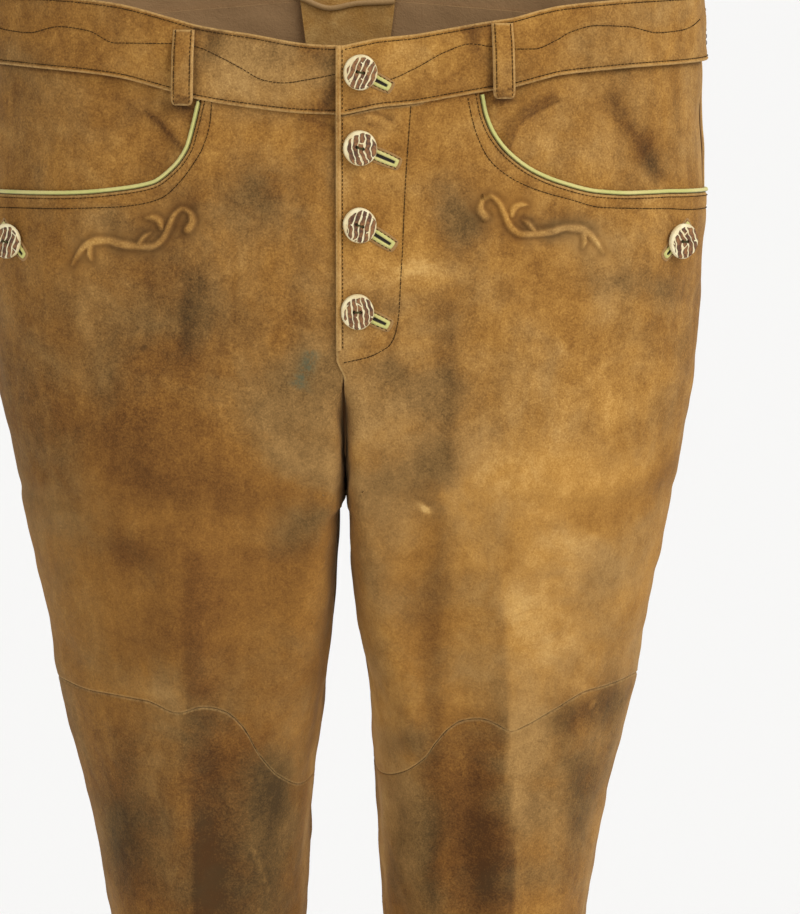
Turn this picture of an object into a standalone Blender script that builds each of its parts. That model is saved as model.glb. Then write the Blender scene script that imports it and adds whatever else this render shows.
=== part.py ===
"""Suede leather trousers of the Alpine folk kind, hollow and standing as worn, in metres, +Z up.

The front faces -Y, the wearer's left is at +X, and the origin is the middle of the waist opening.
Every piece is a wall laid on one body surface, skin(), whose two coordinates are
    around: 0 at the centre front, 1 at the side seam, 2 at the centre back, and
    height: the world Z.
"""
import math

import bmesh
import bpy
import numpy as np
from mathutils import Matrix, Vector

# ---------------------------------------------------------------- driving dimensions
LEATHER = 0.0016            # wall of the suede
SEAM = 0.0003               # gap between two sewn pieces
LAYER = LEATHER + SEAM      # one layer of leather over another
QUARTER = 0.25              # nominal arc from the centre front to the side seam

FLY_OVERLAP = 0.0042        # how far the left front laps past the centre
FLY_BOTTOM = -0.205         # lower end of the lapping edge
FLY_CLOSED = -0.217         # where the two fronts meet edge to edge again
EDGE_STRIP_WIDTH = 0.0028
UNDER_EDGE = 0.0033         # the right front's own edge, under the lap
STAND_WIDTH = 0.038         # button stand, from the centre to its free edge
STAND_BOTTOM = -0.197

BAND_HEIGHT = 0.0395
BAND_LAP = 0.007            # how far the band covers the tops of the panels
CROTCH = -0.285             # lowest point of the rise seam
FRONT_RISE_TOP = -0.215     # where the front rise seam starts to run inward
BACK_RISE_TOP = -0.190
HEM = -1.030

NOTCH_BOTTOM = -0.080       # back notch, cut down from the waist
NOTCH_HALF_WIDTH = 0.021

BUTTON_RADIUS = 0.0100
BUTTON_THICK = 0.0040
HOLE_LENGTH = 0.0225        # bound buttonhole, over its lips
HOLE_WIDTH = 0.0070
PIPING_RADIUS = 0.0011
LOOP_WIDTH = 0.0135
LOOP_LEATHER = 0.0020
LACE_RADIUS = 0.0011

# Body sections. outer: half width at the side seam; inner_left, inner_right: distance of the inner edge from
# the middle plane; front, back, side: y of the front, of the back and of the side seam; round_*: how far the
# rounding of the outer side and of the two inner edges reaches.
SECTION_COLUMNS = ("z", "outer", "inner_left", "inner_right", "front", "back", "side",
                   "round_outer", "round_front", "round_back", "square")
SECTIONS = (
    (0.060, 0.2100, 0.00015, 0.00015, -0.1035, 0.0950, -0.012, 0.2100, 0.006, 0.016, 2.6),
    (0.000, 0.2110, 0.00015, 0.00015, -0.1050, 0.0985, -0.011, 0.2110, 0.006, 0.016, 2.6),
    (-0.060, 0.2130, 0.00015, 0.00015, -0.1075, 0.1080, -0.010, 0.2130, 0.006, 0.016, 2.6),
    (-0.120, 0.2145, 0.00015, 0.00015, -0.1090, 0.1210, -0.009, 0.2145, 0.006, 0.016, 2.6),
    (-0.180, 0.2135, 0.00015, 0.00015, -0.1085, 0.1310, -0.004, 0.2135, 0.006, 0.018, 2.6),
    (-0.220, 0.2110, 0.00015, 0.00015, -0.1070, 0.1330, 0.002, 0.2050, 0.007, 0.021, 2.5),
    (-0.250, 0.2076, 0.00015, 0.00015, -0.1050, 0.1310, 0.005, 0.1850, 0.009, 0.024, 2.4),
    (-0.285, 0.2018, 0.00015, 0.00015, -0.1025, 0.1255, 0.008, 0.1500, 0.012, 0.028, 2.3),
    (-0.300, 0.1990, 0.00090, 0.00250, -0.1010, 0.1220, 0.009, 0.1400, 0.015, 0.030, 2.2),
    (-0.315, 0.1961, 0.00160, 0.00410, -0.1000, 0.1185, 0.010, 0.1300, 0.018, 0.032, 2.2),
    (-0.340, 0.1909, 0.00300, 0.00560, -0.0975, 0.1140, 0.010, 0.1200, 0.025, 0.036, 2.2),
    (-0.365, 0.1858, 0.00480, 0.00700, -0.0950, 0.1100, 0.010, 0.1100, 0.032, 0.040, 2.2),
    (-0.390, 0.1816, 0.00800, 0.00930, -0.0920, 0.1065, 0.010, 0.1040, 0.038, 0.043, 2.1),
    (-0.415, 0.1776, 0.01260, 0.01200, -0.0892, 0.1030, 0.010, 0.0980, 0.043, 0.047, 2.1),
    (-0.440, 0.1728, 0.01520, 0.01520, -0.0863, 0.0998, 0.010, 0.0930, 0.047, 0.049, 2.1),
    (-0.466, 0.1664, 0.01620, 0.01900, -0.0835, 0.0970, 0.011, 0.0870, 0.050, 0.050, 2.1),
    (-0.517, 0.1556, 0.01940, 0.02340, -0.0785, 0.0935, 0.012, 0.0760, 0.052, 0.052, 2.1),
    (-0.560, 0.1493, 0.02220, 0.02600, -0.0755, 0.0915, 0.013, 0.0700, 0.054, 0.054, 2.1),
    (-0.650, 0.1405, 0.02450, 0.02700, -0.0700, 0.0905, 0.016, 0.0630, 0.053, 0.053, 2.1),
    (-0.800, 0.1330, 0.02200, 0.02400, -0.0645, 0.0870, 0.019, 0.0600, 0.052, 0.052, 2.1),
    (-1.060, 0.1290, 0.01600, 0.01800, -0.0600, 0.0830, 0.021, 0.0600, 0.052, 0.052, 2.1),
)
INSEAM_Y = 0.012            # y of the inseam of both legs

# Seams and edges, each a height for a place around the body.
BAND_SEAM = {
    "left": ((0.00, -0.0640), (0.05, -0.0612), (0.08, -0.0597), (0.15, -0.0579), (0.23, -0.0544), (0.32, -0.0505),
             (0.37, -0.0487), (0.44, -0.0442), (0.48, -0.0420), (0.57, -0.0398), (0.66, -0.0384), (0.75, -0.0378),
             (1.00, -0.0370), (1.40, -0.0270), (2.00, -0.0150)),
    "right": ((0.00, -0.0640), (0.09, -0.0631), (0.22, -0.0594), (0.33, -0.0546), (0.38, -0.0509), (0.51, -0.0430),
              (0.62, -0.0402), (0.75, -0.0385), (1.00, -0.0370), (1.40, -0.0270), (2.00, -0.0150)),
}
POCKET_MOUTH = {
    "left": ((0.297, -0.0525), (0.305, -0.0640), (0.325, -0.0765), (0.361, -0.0882), (0.413, -0.0982),
             (0.477, -0.1053), (0.561, -0.1109), (0.646, -0.1126), (0.732, -0.1129), (0.800, -0.1139), (1.0, -0.1170)),
    "right": ((0.309, -0.0560), (0.320, -0.0690), (0.336, -0.0842), (0.369, -0.0960), (0.417, -0.1050),
              (0.498, -0.1092), (0.590, -0.1118), (0.690, -0.1130), (0.800, -0.1142), (1.0, -0.1170)),
}
CROSS_SEAM = {
    "left": ((0.00, -0.4720), (0.18, -0.4663), (0.27, -0.4603), (0.35, -0.4490), (0.38, -0.4395), (0.41, -0.4305),
             (0.44, -0.4253), (0.48, -0.4237), (0.51, -0.4266), (0.54, -0.4308), (0.57, -0.4275), (0.63, -0.4193),
             (0.72, -0.4108), (0.85, -0.4105), (1.00, -0.4150), (1.25, -0.4210), (1.50, -0.4370), (1.75, -0.4580),
             (2.00, -0.4720)),
    "right": ((0.00, -0.4750), (0.20, -0.4712), (0.30, -0.4614), (0.37, -0.4455), (0.41, -0.4281), (0.45, -0.4188),
              (0.50, -0.4155), (0.54, -0.4182), (0.61, -0.4133), (0.68, -0.4125), (0.85, -0.4125), (1.00, -0.4160),
              (1.25, -0.4220), (1.50, -0.4380), (1.75, -0.4600), (2.00, -0.4750)),
}
MOUTH_SHIFT = {"left": 0.0, "right": 0.012}     # the right mouth starts a little farther round

# Largest folds of the leather: each runs from (around, height) to (around, height); width is its half width in
# metres, rise is how far it stands out (in if negative).
FOLD_COLUMNS = ("side", "around", "height", "to_around", "to_height", "width", "rise")
FOLDS = (
    ("left", 0.43, -0.285, 0.41, -0.560, 0.022, -0.0035),     # soft valley down the thigh
    ("left", 0.53, -0.390, 0.54, -1.050, 0.012, 0.0045),      # pressed crease
    ("right", 0.53, -0.250, 0.53, -1.050, 0.012, 0.0045),
    ("right", 0.40, -0.280, 0.38, -0.440, 0.024, -0.0030),
    ("left", 0.14, -0.205, 0.46, -0.262, 0.013, -0.0025),     # drag lines from the fork
    ("right", 0.12, -0.205, 0.40, -0.272, 0.013, -0.0022),
    ("left", 1.12, -0.290, 1.45, -0.345, 0.015, -0.0035),     # below the hip
    ("right", 1.12, -0.310, 1.45, -0.350, 0.015, -0.0035),
    ("left", 1.25, -0.262, 1.70, -0.318, 0.016, -0.0045),     # under the seat
    ("right", 1.25, -0.270, 1.70, -0.312, 0.016, -0.0045),
    ("left", 1.20, -0.560, 1.85, -0.590, 0.014, -0.0040),     # hollow of the knee
    ("right", 1.15, -0.580, 1.80, -0.560, 0.014, -0.0040),
    ("left", 1.30, -0.640, 1.90, -0.625, 0.014, -0.0030),
    ("right", 1.25, -0.620, 1.85, -0.650, 0.014, -0.0030),
    ("left", 1.40, -0.420, 1.47, -1.050, 0.012, 0.0040),      # back crease
    ("right", 1.40, -0.420, 1.47, -1.050, 0.012, 0.0040),
    ("left", 0.20, -0.930, 0.90, -0.960, 0.014, -0.0025),     # break over the foot
    ("right", 0.15, -0.950, 0.85, -0.925, 0.014, -0.0025),
)
FACING_FOLDS = (
    ("left", 0.350, -0.083, 0.455, -0.056, 0.0050, -0.0014),
    ("left", 0.620, -0.050, 0.750, -0.112, 0.0100, -0.0016),
    ("right", 0.445, -0.062, 0.345, -0.088, 0.0060, -0.0014),
)

# Places of the grid lines around the front and the back, closest where the pocket mouth and the side turn.
FRONT_LINES = (0.0, 0.03, 0.09, 0.165, 0.23, 0.286, 0.296, 0.306, 0.325, 0.362, 0.415, 0.478, 0.555, 0.640, 0.720,
               0.790, 0.850, 0.905, 0.955, 1.0)
BACK_LINES = (1.0, 1.04, 1.09, 1.15, 1.23, 1.33, 1.44, 1.55, 1.66, 1.76, 1.84, 1.90, 1.95, 1.98, 2.0)

BELT_LOOPS = ((1, "right", 0.350), (2, "left", 0.350), (3, "left", 1.120), (4, "right", 1.120),
              (5, "left", 1.740), (6, "right", 1.740))
# Fly buttons: distance from the middle plane and height; reach and slant place the far end of the bound hole.
BUTTON_COLUMNS = ("number", "out", "height", "reach", "slant")
FLY_BUTTONS = (
    (1, 0.0093, -0.0397, 0.0190, -28),
    (2, 0.0090, -0.0828, 0.0230, -24),
    (3, 0.0087, -0.1270, 0.0225, -34),
    (4, 0.0073, -0.1771, 0.0195, -26),
)
POCKET_BUTTON = (0.768, -0.1405)     # around, height
POCKET_HOLE_SLANT = math.radians(40)
POCKET_HOLE_LENGTH = 0.0290
POCKET_BUTTON_LEAN = math.radians(18)   # hangs on its thread, tipped forward
POCKET_BUTTON_LIFT = 0.0024


# ---------------------------------------------------------------- the body surface
def smooth(low, high, value):
    """Rise smoothly from 0 at low to 1 at high."""
    share = np.clip((np.asarray(value, float) - low) / (high - low), 0.0, 1.0)
    return share * share * (3 - 2 * share)


def curve_through(points, where):
    """A smooth curve without overshoot through rows of (place, value), read at where."""
    xs, ys = (np.array(column, float) for column in zip(*points))
    if xs[0] > xs[-1]:
        xs, ys = xs[::-1], ys[::-1]
    rise = np.diff(ys) / np.diff(xs)
    both = rise[:-1] * rise[1:]
    middle = np.where(both > 0, 2 * both / np.where(both > 0, rise[:-1] + rise[1:], 1.0), 0.0)
    slopes = np.concatenate([rise[:1], middle, rise[-1:]])
    where = np.clip(np.asarray(where, float), xs[0], xs[-1])
    index = np.clip(np.searchsorted(xs, where) - 1, 0, len(xs) - 2)
    step = xs[index + 1] - xs[index]
    t = (where - xs[index]) / step
    return ((2 * t**3 - 3 * t**2 + 1) * ys[index] + (t**3 - 2 * t**2 + t) * step * slopes[index]
            + (3 * t**2 - 2 * t**3) * ys[index + 1] + (t**3 - t**2) * step * slopes[index + 1])


def section(column, height):
    """One column of SECTIONS at a height."""
    place = SECTION_COLUMNS.index(column)
    return curve_through([(row[0], row[place]) for row in SECTIONS], height)


def rise_share(height, top):
    """How far the rise seam has run in to the inseam, from 0 at its top to 1 at the crotch."""
    t = np.clip((top - height) / (top - CROTCH), 0.0, 1.0)
    return 0.55 * t * smooth(0.0, 0.2, t) + 0.45 * (1 - np.sqrt(1 - t * t))


def profile_y(side, face, x, height):
    """y of the front or back of one half at a distance x from the middle plane."""
    inner = section("inner_" + side, height)
    outer = section("outer", height)
    side_y = section("side", height)
    flat = section(face, height)
    top = FRONT_RISE_TOP if face == "front" else BACK_RISE_TOP
    reach = np.minimum(section("round_outer", height), outer)
    out = np.clip((outer - x) / reach, 0.0, 1.0)
    square = section("square", height)
    round_out = (1 - (1 - out) ** square) ** (1 / square)
    rounded = side_y + (flat - side_y) * round_out
    gap = -SEAM / 2 if face == "front" else SEAM / 2
    edge = flat + (INSEAM_Y + gap - flat) * rise_share(height, top)
    into = np.clip((x - inner) / section("round_" + face, height), 0.0, 1.0)
    round_in = np.sqrt(1 - (1 - into) ** 2)
    return edge + (rounded - edge) * round_in


def face_points(side, face, share, height):
    """x and y of one face at a share of the arc from its inner edge to the side seam, or past the middle if < 0."""
    inner = section("inner_" + side, height)[:, None]
    outer = section("outer", height)[:, None]
    spread = (1 + np.cos(np.linspace(0, math.pi, 65))) / 2
    spread = 1 - spread ** 1.5      # closest where the outer side turns
    xs = inner + (outer - inner) * spread[None, :]
    ys = profile_y(side, face, xs, np.repeat(height[:, None], len(spread), axis=1))
    steps = np.hypot(np.diff(xs, axis=1), np.diff(ys, axis=1))
    arc = np.concatenate([np.zeros((len(height), 1)), np.cumsum(steps, axis=1)], axis=1)
    length = arc[:, -1]
    target = np.clip(share, 0.0, 1.0) * length
    rows = np.arange(len(height))
    index = np.clip((arc < target[:, None]).sum(axis=1) - 1, 0, len(spread) - 2)
    start, stop = arc[rows, index], arc[rows, index + 1]
    part = (target - start) / np.maximum(stop - start, 1e-9)
    x = xs[rows, index] + (xs[rows, index + 1] - xs[rows, index]) * part
    y = ys[rows, index] + (ys[rows, index + 1] - ys[rows, index]) * part
    past = share * QUARTER + inner[:, 0]
    return np.where(share < 0, past, x), np.where(share < 0, profile_y(side, face, np.abs(past), height), y)


def bare_skin(side, around, height):
    """Points of the body surface before its folds."""
    around, height = (np.array(v, float).ravel() for v in np.broadcast_arrays(around, height))
    front = around <= 1.0
    points = np.empty((len(around), 3))
    points[:, 2] = height
    for face, chosen, share in (("front", front, around), ("back", ~front, 2 - around)):
        if chosen.any():
            x, y = face_points(side, face, share[chosen], height[chosen])
            points[chosen, 0] = x if side == "left" else -x
            points[chosen, 1] = y
    return points


def outward(side, around, height, reach=0.004):
    """The direction out of the body, taken over a few millimetres so that a wall keeps its thickness."""
    around, height = (np.array(v, float).ravel() for v in np.broadcast_arrays(around, height))
    step = reach / QUARTER
    before = np.where(around >= 0, np.maximum(around - step, 0.0), around - step)
    after = np.minimum(around + step, 2.0)
    along = bare_skin(side, after, height) - bare_skin(side, before, height)
    upward = bare_skin(side, around, height + reach) - bare_skin(side, around, height - reach)
    normal = np.cross(along, upward) * (1 if side == "left" else -1)
    return normal / np.linalg.norm(normal, axis=1)[:, None]


def fold_rise(folds, side, around, height):
    """How far the folds lift the leather at each point."""
    total = np.zeros(np.shape(around))
    for row in folds:
        fold = dict(zip(FOLD_COLUMNS, row))
        if fold["side"] != side:
            continue
        along = np.array([(fold["to_around"] - fold["around"]) * QUARTER, fold["to_height"] - fold["height"]])
        length = np.linalg.norm(along)
        along = along / length
        da, dz = (around - fold["around"]) * QUARTER, height - fold["height"]
        run = (da * along[0] + dz * along[1]) / length
        across = -da * along[1] + dz * along[0]
        fade = smooth(-0.05, 0.25, run) * (1 - smooth(0.75, 1.05, run))
        total = total + fold["rise"] * fade * np.exp(-(across / fold["width"]) ** 2)
    return total


def skin(side, around, height, lift=0.0, folds=FOLDS):
    """Points of the leather's outer face, moved out by lift."""
    around, height, lift = (np.array(v, float).ravel() for v in np.broadcast_arrays(around, height, lift))
    amount = lift + fold_rise(folds, side, around, height)
    return bare_skin(side, around, height) + outward(side, around, height) * amount[:, None]


def under_lap(side, around, height):
    """The right front and its band run one layer deeper where the left front laps over them."""
    if side == "left":
        return np.zeros(np.shape(around))
    across = np.asarray(around) * QUARTER
    return -LAYER * (1 - smooth(0.006, 0.016, across)) * smooth(-0.235, -0.214, height)


# ---------------------------------------------------------------- seams
def band_seam(side, around):
    """Height of the band's lower edge; past the middle it is the other half's."""
    around = np.asarray(around, float)
    other = "right" if side == "left" else "left"
    return np.where(around < 0, curve_through(BAND_SEAM[other], -around), curve_through(BAND_SEAM[side], around))


def band_top(side, around):
    return band_seam(side, around) + BAND_HEIGHT


def cross_seam(side, around):
    return curve_through(CROSS_SEAM[side], around)


def front_lines(side):
    """Grid lines around the front, shifted with the side's pocket mouth."""
    lines = np.array(FRONT_LINES)
    return lines + MOUTH_SHIFT[side] * smooth(0.18, 0.30, lines) * (1 - smooth(0.45, 0.80, lines))


def front_edge(side, height):
    """Where the front panel's inner edge lies, as a place around the body."""
    if side == "left":
        return -(FLY_OVERLAP / QUARTER) * smooth(FLY_CLOSED, FLY_BOTTOM, height)
    return (UNDER_EDGE / QUARTER) * smooth(-0.213, -0.200, height)


def notch_edge(height):
    """Where the back notch's edge lies, as a place around the body."""
    width = NOTCH_HALF_WIDTH * np.sqrt(np.clip((np.asarray(height) - NOTCH_BOTTOM) / 0.05, 0.0, 1.0))
    return 2.0 - width / QUARTER


# ---------------------------------------------------------------- making solids
def material(name, colour, roughness):
    made = bpy.data.materials.get(name)
    if made is None:
        made = bpy.data.materials.new(name)
        made.use_nodes = True
        shader = made.node_tree.nodes["Principled BSDF"]
        shader.inputs["Base Color"].default_value = (*colour, 1.0)
        shader.inputs["Roughness"].default_value = roughness
        shader.inputs["Metallic"].default_value = 0.0
    return made


def face_outwards(body):
    """Turn a closed body's faces out."""
    bmesh.ops.recalc_face_normals(body, faces=body.faces[:])
    if body.calc_volume(signed=True) < 0:
        bmesh.ops.reverse_faces(body, faces=body.faces[:])


def add_object(name, mesh, finish, parts):
    made = bpy.data.objects.new(name, mesh)
    mesh.materials.append(finish)
    mesh.shade_smooth()
    mesh.set_sharp_from_angle(angle=math.radians(40))
    parts.objects.link(made)
    return made


def wall(name, columns, rows, outer, inner, finish, parts):
    """A flat sheet of columns by rows cells, given a second layer and then laid between two surfaces.

    outer and inner take arrays of shares across and down the sheet and give points.
    """
    body = bmesh.new()
    bmesh.ops.create_grid(body, x_segments=columns, y_segments=rows, size=0.5)
    made = bmesh.ops.extrude_face_region(body, geom=body.faces[:], use_keep_orig=True)
    second = {item for item in made["geom"] if isinstance(item, bmesh.types.BMVert)}
    for is_second, surface in ((False, outer), (True, inner)):
        chosen = [vert for vert in body.verts if (vert in second) == is_second]
        across = np.array([vert.co.x + 0.5 for vert in chosen])
        down = np.array([0.5 - vert.co.y for vert in chosen])
        for vert, point in zip(chosen, surface(across, down)):
            vert.co = point
    face_outwards(body)
    mesh = bpy.data.meshes.new(name)
    body.to_mesh(mesh)
    body.free()
    return add_object(name, mesh, finish, parts)


def spaced(stops, share):
    """Places at even steps of share through a list of stops."""
    return np.interp(share, np.linspace(0, 1, len(stops)), stops)


def sheet(name, side, stops_across, stops_down, place, lift, finish, parts, folds=FOLDS, thick=LEATHER):
    """A wall laid on the body. place turns shares across and down into (around, height)."""
    def layer(depth):
        def surface(across, down):
            around, height = place(spaced(stops_across, across), spaced(stops_down, down))
            return skin(side, around, height, lift(around, height) - depth, folds)
        return surface
    return wall(name, len(stops_across) - 1, len(stops_down) - 1, layer(0.0), layer(thick), finish, parts)


def swept(name, points, radius, finish, parts, sides=8):
    """A round strip along points, with flat ends."""
    path = bpy.data.curves.new(name, "CURVE")
    path.dimensions = "3D"
    path.bevel_depth = radius
    path.bevel_resolution = sides // 2 - 2
    path.use_fill_caps = True
    line = path.splines.new("POLY")
    line.points.add(len(points) - 1)
    for spot, point in zip(line.points, points):
        spot.co = (*point, 1.0)
    made = bpy.data.objects.new(name, path)
    path.materials.append(finish)
    parts.objects.link(made)
    return made


# ---------------------------------------------------------------- the pieces
def front_panel(side, suede, parts):
    """From under the waistband and the pocket mouth down to the cross seam."""
    edge_around = front_lines(side)
    mouth = curve_through(POCKET_MOUTH[side], edge_around) - band_seam(side, edge_around)
    above = np.where(edge_around < POCKET_MOUTH[side][0][0], BAND_LAP, mouth)
    if side == "left":      # over the fly the right band lies where this panel's lap would be
        above = np.where(edge_around * QUARTER < STAND_WIDTH + 0.004, -SEAM, above)
    low_around = np.linspace(0.0, 1.0, len(edge_around))
    columns = np.arange(len(edge_around))
    heights = [float(band_seam(side, 0.0)), -0.085, -0.115, -0.145, -0.172, -0.190, -0.200, -0.208, -0.217, -0.226,
               -0.238, -0.252, -0.265, -0.275, -0.282, CROTCH, -0.294, -0.315, -0.345, -0.380, -0.425,
               float(cross_seam(side, 0.0))]
    first, last = heights[0], heights[-1]

    def place(column, height):
        share_down = (first - height) / (first - last)
        start = np.interp(column, columns, edge_around)
        top_around = start + front_edge(side, 0.0 * start) * (1 - smooth(0.0, 0.12, start))
        drift = smooth(0.0, 0.55, share_down)
        around = start + (np.interp(column, columns, low_around) - start) * drift
        upper = band_seam(side, top_around) + np.interp(column, columns, above)
        lower = cross_seam(side, around) + SEAM / 2
        place_z = upper + (lower - upper) * share_down
        around = around + front_edge(side, place_z) * (1 - smooth(0.0, 0.12, around))
        return around * (1 - SEAM / 2 / QUARTER), place_z

    return sheet("front_panel_" + side, side, list(range(len(edge_around))), heights, place,
                 lambda a, z: under_lap(side, a, z), suede, parts)


def back_panel(side, suede, parts):
    heights = [float(band_seam(side, 2.0)) + BAND_LAP, -0.030, -0.050, -0.066, -0.076, -0.085, -0.115, -0.150, -0.180,
               -0.205, -0.225, -0.243, -0.257, -0.268, -0.277, -0.282, CROTCH, -0.298, -0.325, -0.365, -0.420,
               float(cross_seam(side, 2.0))]
    first, last = heights[0], heights[-1]

    def place(share, height):
        share_down = (first - height) / (first - last)
        around = 1 + SEAM / 2 / QUARTER + (1 - SEAM / 2 / QUARTER) * share
        upper = band_seam(side, around) + BAND_LAP
        place_z = upper + (cross_seam(side, around) + SEAM / 2 - upper) * share_down
        edge = np.where(place_z > CROTCH, notch_edge(place_z), 2.0)
        return 1 + SEAM / 2 / QUARTER + (edge - 1 - SEAM / 2 / QUARTER) * share, place_z

    across = [line - 1 for line in BACK_LINES]
    return sheet("back_panel_" + side, side, across, heights, place, lambda a, z: 0 * a, suede, parts)


def lower_leg(side, face, suede, parts):
    start, stop = (0.0, 1 - SEAM / 2 / QUARTER) if face == "front" else (1 + SEAM / 2 / QUARTER, 2.0)
    lines = np.linspace(0, 1, len(FRONT_LINES)) if face == "front" else np.array(BACK_LINES) - 1
    shares = list(lines)
    downs = [0.0, 0.08, 0.18, 0.26, 0.34, 0.46, 0.62, 0.80, 0.90, 1.0]

    def place(share, down):
        around = start + (stop - start) * share
        upper = cross_seam(side, around) - SEAM / 2
        return around, upper + (HEM - upper) * down

    return sheet(face + "_leg_" + side, side, shares, downs, place, lambda a, z: 0 * a, suede, parts)


def waistband(side, suede, parts):
    """One half of the band, from the fly round to the back notch; the right half runs on under the left."""
    start = -FLY_OVERLAP / QUARTER if side == "left" else -STAND_WIDTH / QUARTER
    under = [start, -FRONT_LINES[2], -FRONT_LINES[1], 0.0, 0.02, 0.045, 0.07]
    near = [start, start * 0.5, 0.0] if side == "left" else under
    arounds = near + [line for line in front_lines(side) if line > near[-1] + 0.02] + list(BACK_LINES[1:])

    hidden_rise = 0.0 if side == "left" else 0.0015     # keeps the covered end off the left front's top

    def place(around, share):
        upper, lower = band_top(side, around), band_seam(side, around) + np.where(around < 0.01, hidden_rise, 0.0)
        height = upper + (lower - upper) * share
        limit = notch_edge(height)
        return np.where(around > 1, 1 + (limit - 1) * (around - 1), around), height

    def lift(around, height):
        return LAYER + under_lap(side, around, height)

    return sheet("waistband_" + side, side, arounds, [0.0, 0.35, 0.7, 1.0], place, lift, suede, parts)


def fly_button_stand(suede, parts):
    """The strip sewn to the right front's edge that carries the lower three buttons."""
    def place(across, share):
        around = -(-UNDER_EDGE + SEAM + (STAND_WIDTH + UNDER_EDGE - SEAM) * across) / QUARTER
        top = band_seam("right", around) + BAND_LAP
        bottom = STAND_BOTTOM + 0.030 * across ** 3
        return around, top + (bottom - top) * share

    return sheet("fly_button_stand", "right", [0, 0.25, 0.5, 0.75, 1.0], list(np.linspace(0, 1, 9)), place,
                 lambda a, z: 0 * a - LAYER, suede, parts)


def fly_edge_strip(suede, parts):
    """A narrow turned strip on the lapping edge, from the top of the band to the end of the fly."""
    seam = float(band_seam("left", 0.0))

    def place(across, height):
        return (-FLY_OVERLAP + EDGE_STRIP_WIDTH * across) / QUARTER + 0 * height, height

    def lift(around, height):
        step = LAYER * smooth(seam - 0.004, seam - 0.001, height)
        return SEAM + 0.0010 + step

    heights = [seam + BAND_HEIGHT, -0.040, -0.056, seam + 0.0005, seam - 0.0015, seam - 0.0038, seam - 0.006,
               -0.090, -0.115, -0.140, -0.165, -0.185, -0.200]
    return sheet("fly_edge_strip", "left", [0.0, 0.5, 1.0], heights, place, lift, suede, parts, thick=0.0010)


def pocket_facing(side, suede, parts):
    """The panel behind the pocket mouth, one layer in, from under the band to past the mouth."""
    start = 0.262 + MOUTH_SHIFT[side]

    def place(share, down):
        around = start + (1 - SEAM / QUARTER - start) * share
        top = band_seam(side, around) + BAND_LAP
        bottom = -0.130 + 0.045 * (1 - smooth(start, 0.50, around))
        return around, top + (bottom - top) * down

    lines = [0.0] + [(line - start) / (1 - start) for line in front_lines(side) if line > start + 0.02]
    return sheet("pocket_facing_" + side, side, lines, list(np.linspace(0, 1, 8)), place,
                 lambda a, z: 0 * a - LAYER - SEAM, suede, parts, folds=FOLDS + FACING_FOLDS)


def pocket_piping(side, green, parts):
    """A filled strip of green leather in the pocket mouth's edge."""
    mouth = POCKET_MOUTH[side]
    lines = front_lines(side)
    stops = np.concatenate([[mouth[0][0]], lines[lines > mouth[0][0] + 0.003]])
    drops = curve_through(mouth, stops)
    line = np.stack([stops * QUARTER, drops], axis=1)
    run = np.gradient(line, axis=0)
    run /= np.linalg.norm(run, axis=1)[:, None]
    out = PIPING_RADIUS + 2.5 * SEAM
    around = stops + run[:, 1] * -out / QUARTER
    height = drops + run[:, 0] * out
    around, height = np.clip(around, 0.0, 0.992), np.minimum(height, band_seam(side, stops) - 0.001)
    points = skin(side, around, height, -SEAM)
    return swept("pocket_piping_" + side, points, PIPING_RADIUS, green, parts, sides=6)


def ribbon_on(name, side, line, widths, lift, thick, finish, parts):
    """A strip on the leather along a line of (around, height), as wide as widths says."""
    line = np.array(line, float)
    flat = np.stack([line[:, 0] * QUARTER, line[:, 1]], axis=1)
    run = np.gradient(flat, axis=0)
    run /= np.linalg.norm(run, axis=1)[:, None]
    sideways = np.stack([-run[:, 1], run[:, 0]], axis=1)
    count = len(line) - 1

    def layer(low):
        def surface(across, down):
            index = np.rint(down * count).astype(int)
            off = (across - 0.5) * np.asarray(widths)[index]
            spot = flat[index] + sideways[index] * off[:, None]
            bulge = 0.0 if low else thick * (1 - (2 * across - 1) ** 2) + 0.0004
            return skin(side, spot[:, 0] / QUARTER, spot[:, 1], lift + bulge)
        return surface

    return wall(name, 2, count, layer(False), layer(True), finish, parts)


def scroll_strokes():
    """The raised scroll: each stroke is a list of (out, up, width) from its start, in millimetres."""
    stem = [(0, 0, 1.0), (-3.5, 5.0, 2.6), (-2.5, 10.0, 3.4), (3.0, 12.5, 3.8), (8.5, 9.0, 4.4), (12.0, 2.0, 4.8),
            (17.0, -6.0, 5.0), (24.0, -10.0, 5.0), (32.0, -9.0, 4.6), (40.0, -7.0, 4.6), (48.0, -6.5, 5.0),
            (56.0, -8.5, 4.6), (62.0, -14.0, 3.4), (65.5, -21.0, 1.2)]
    leaf = [(10.0, 4.5, 2.4), (13.5, 7.5, 4.2), (18.0, 8.0, 3.8), (22.0, 5.5, 1.0)]
    spur = [(27.0, -10.5, 3.2), (24.0, -4.5, 2.8), (20.5, -1.5, 1.0)]
    drop = [(51.0, -8.0, 3.0), (53.0, -13.0, 2.6), (54.0, -17.0, 0.8)]
    return (("stem", stem), ("leaf", leaf), ("spur", spur), ("drop", drop))


SCROLL_START = {"left": (0.314, -0.1225), "right": (0.346, -0.1300)}


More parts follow.
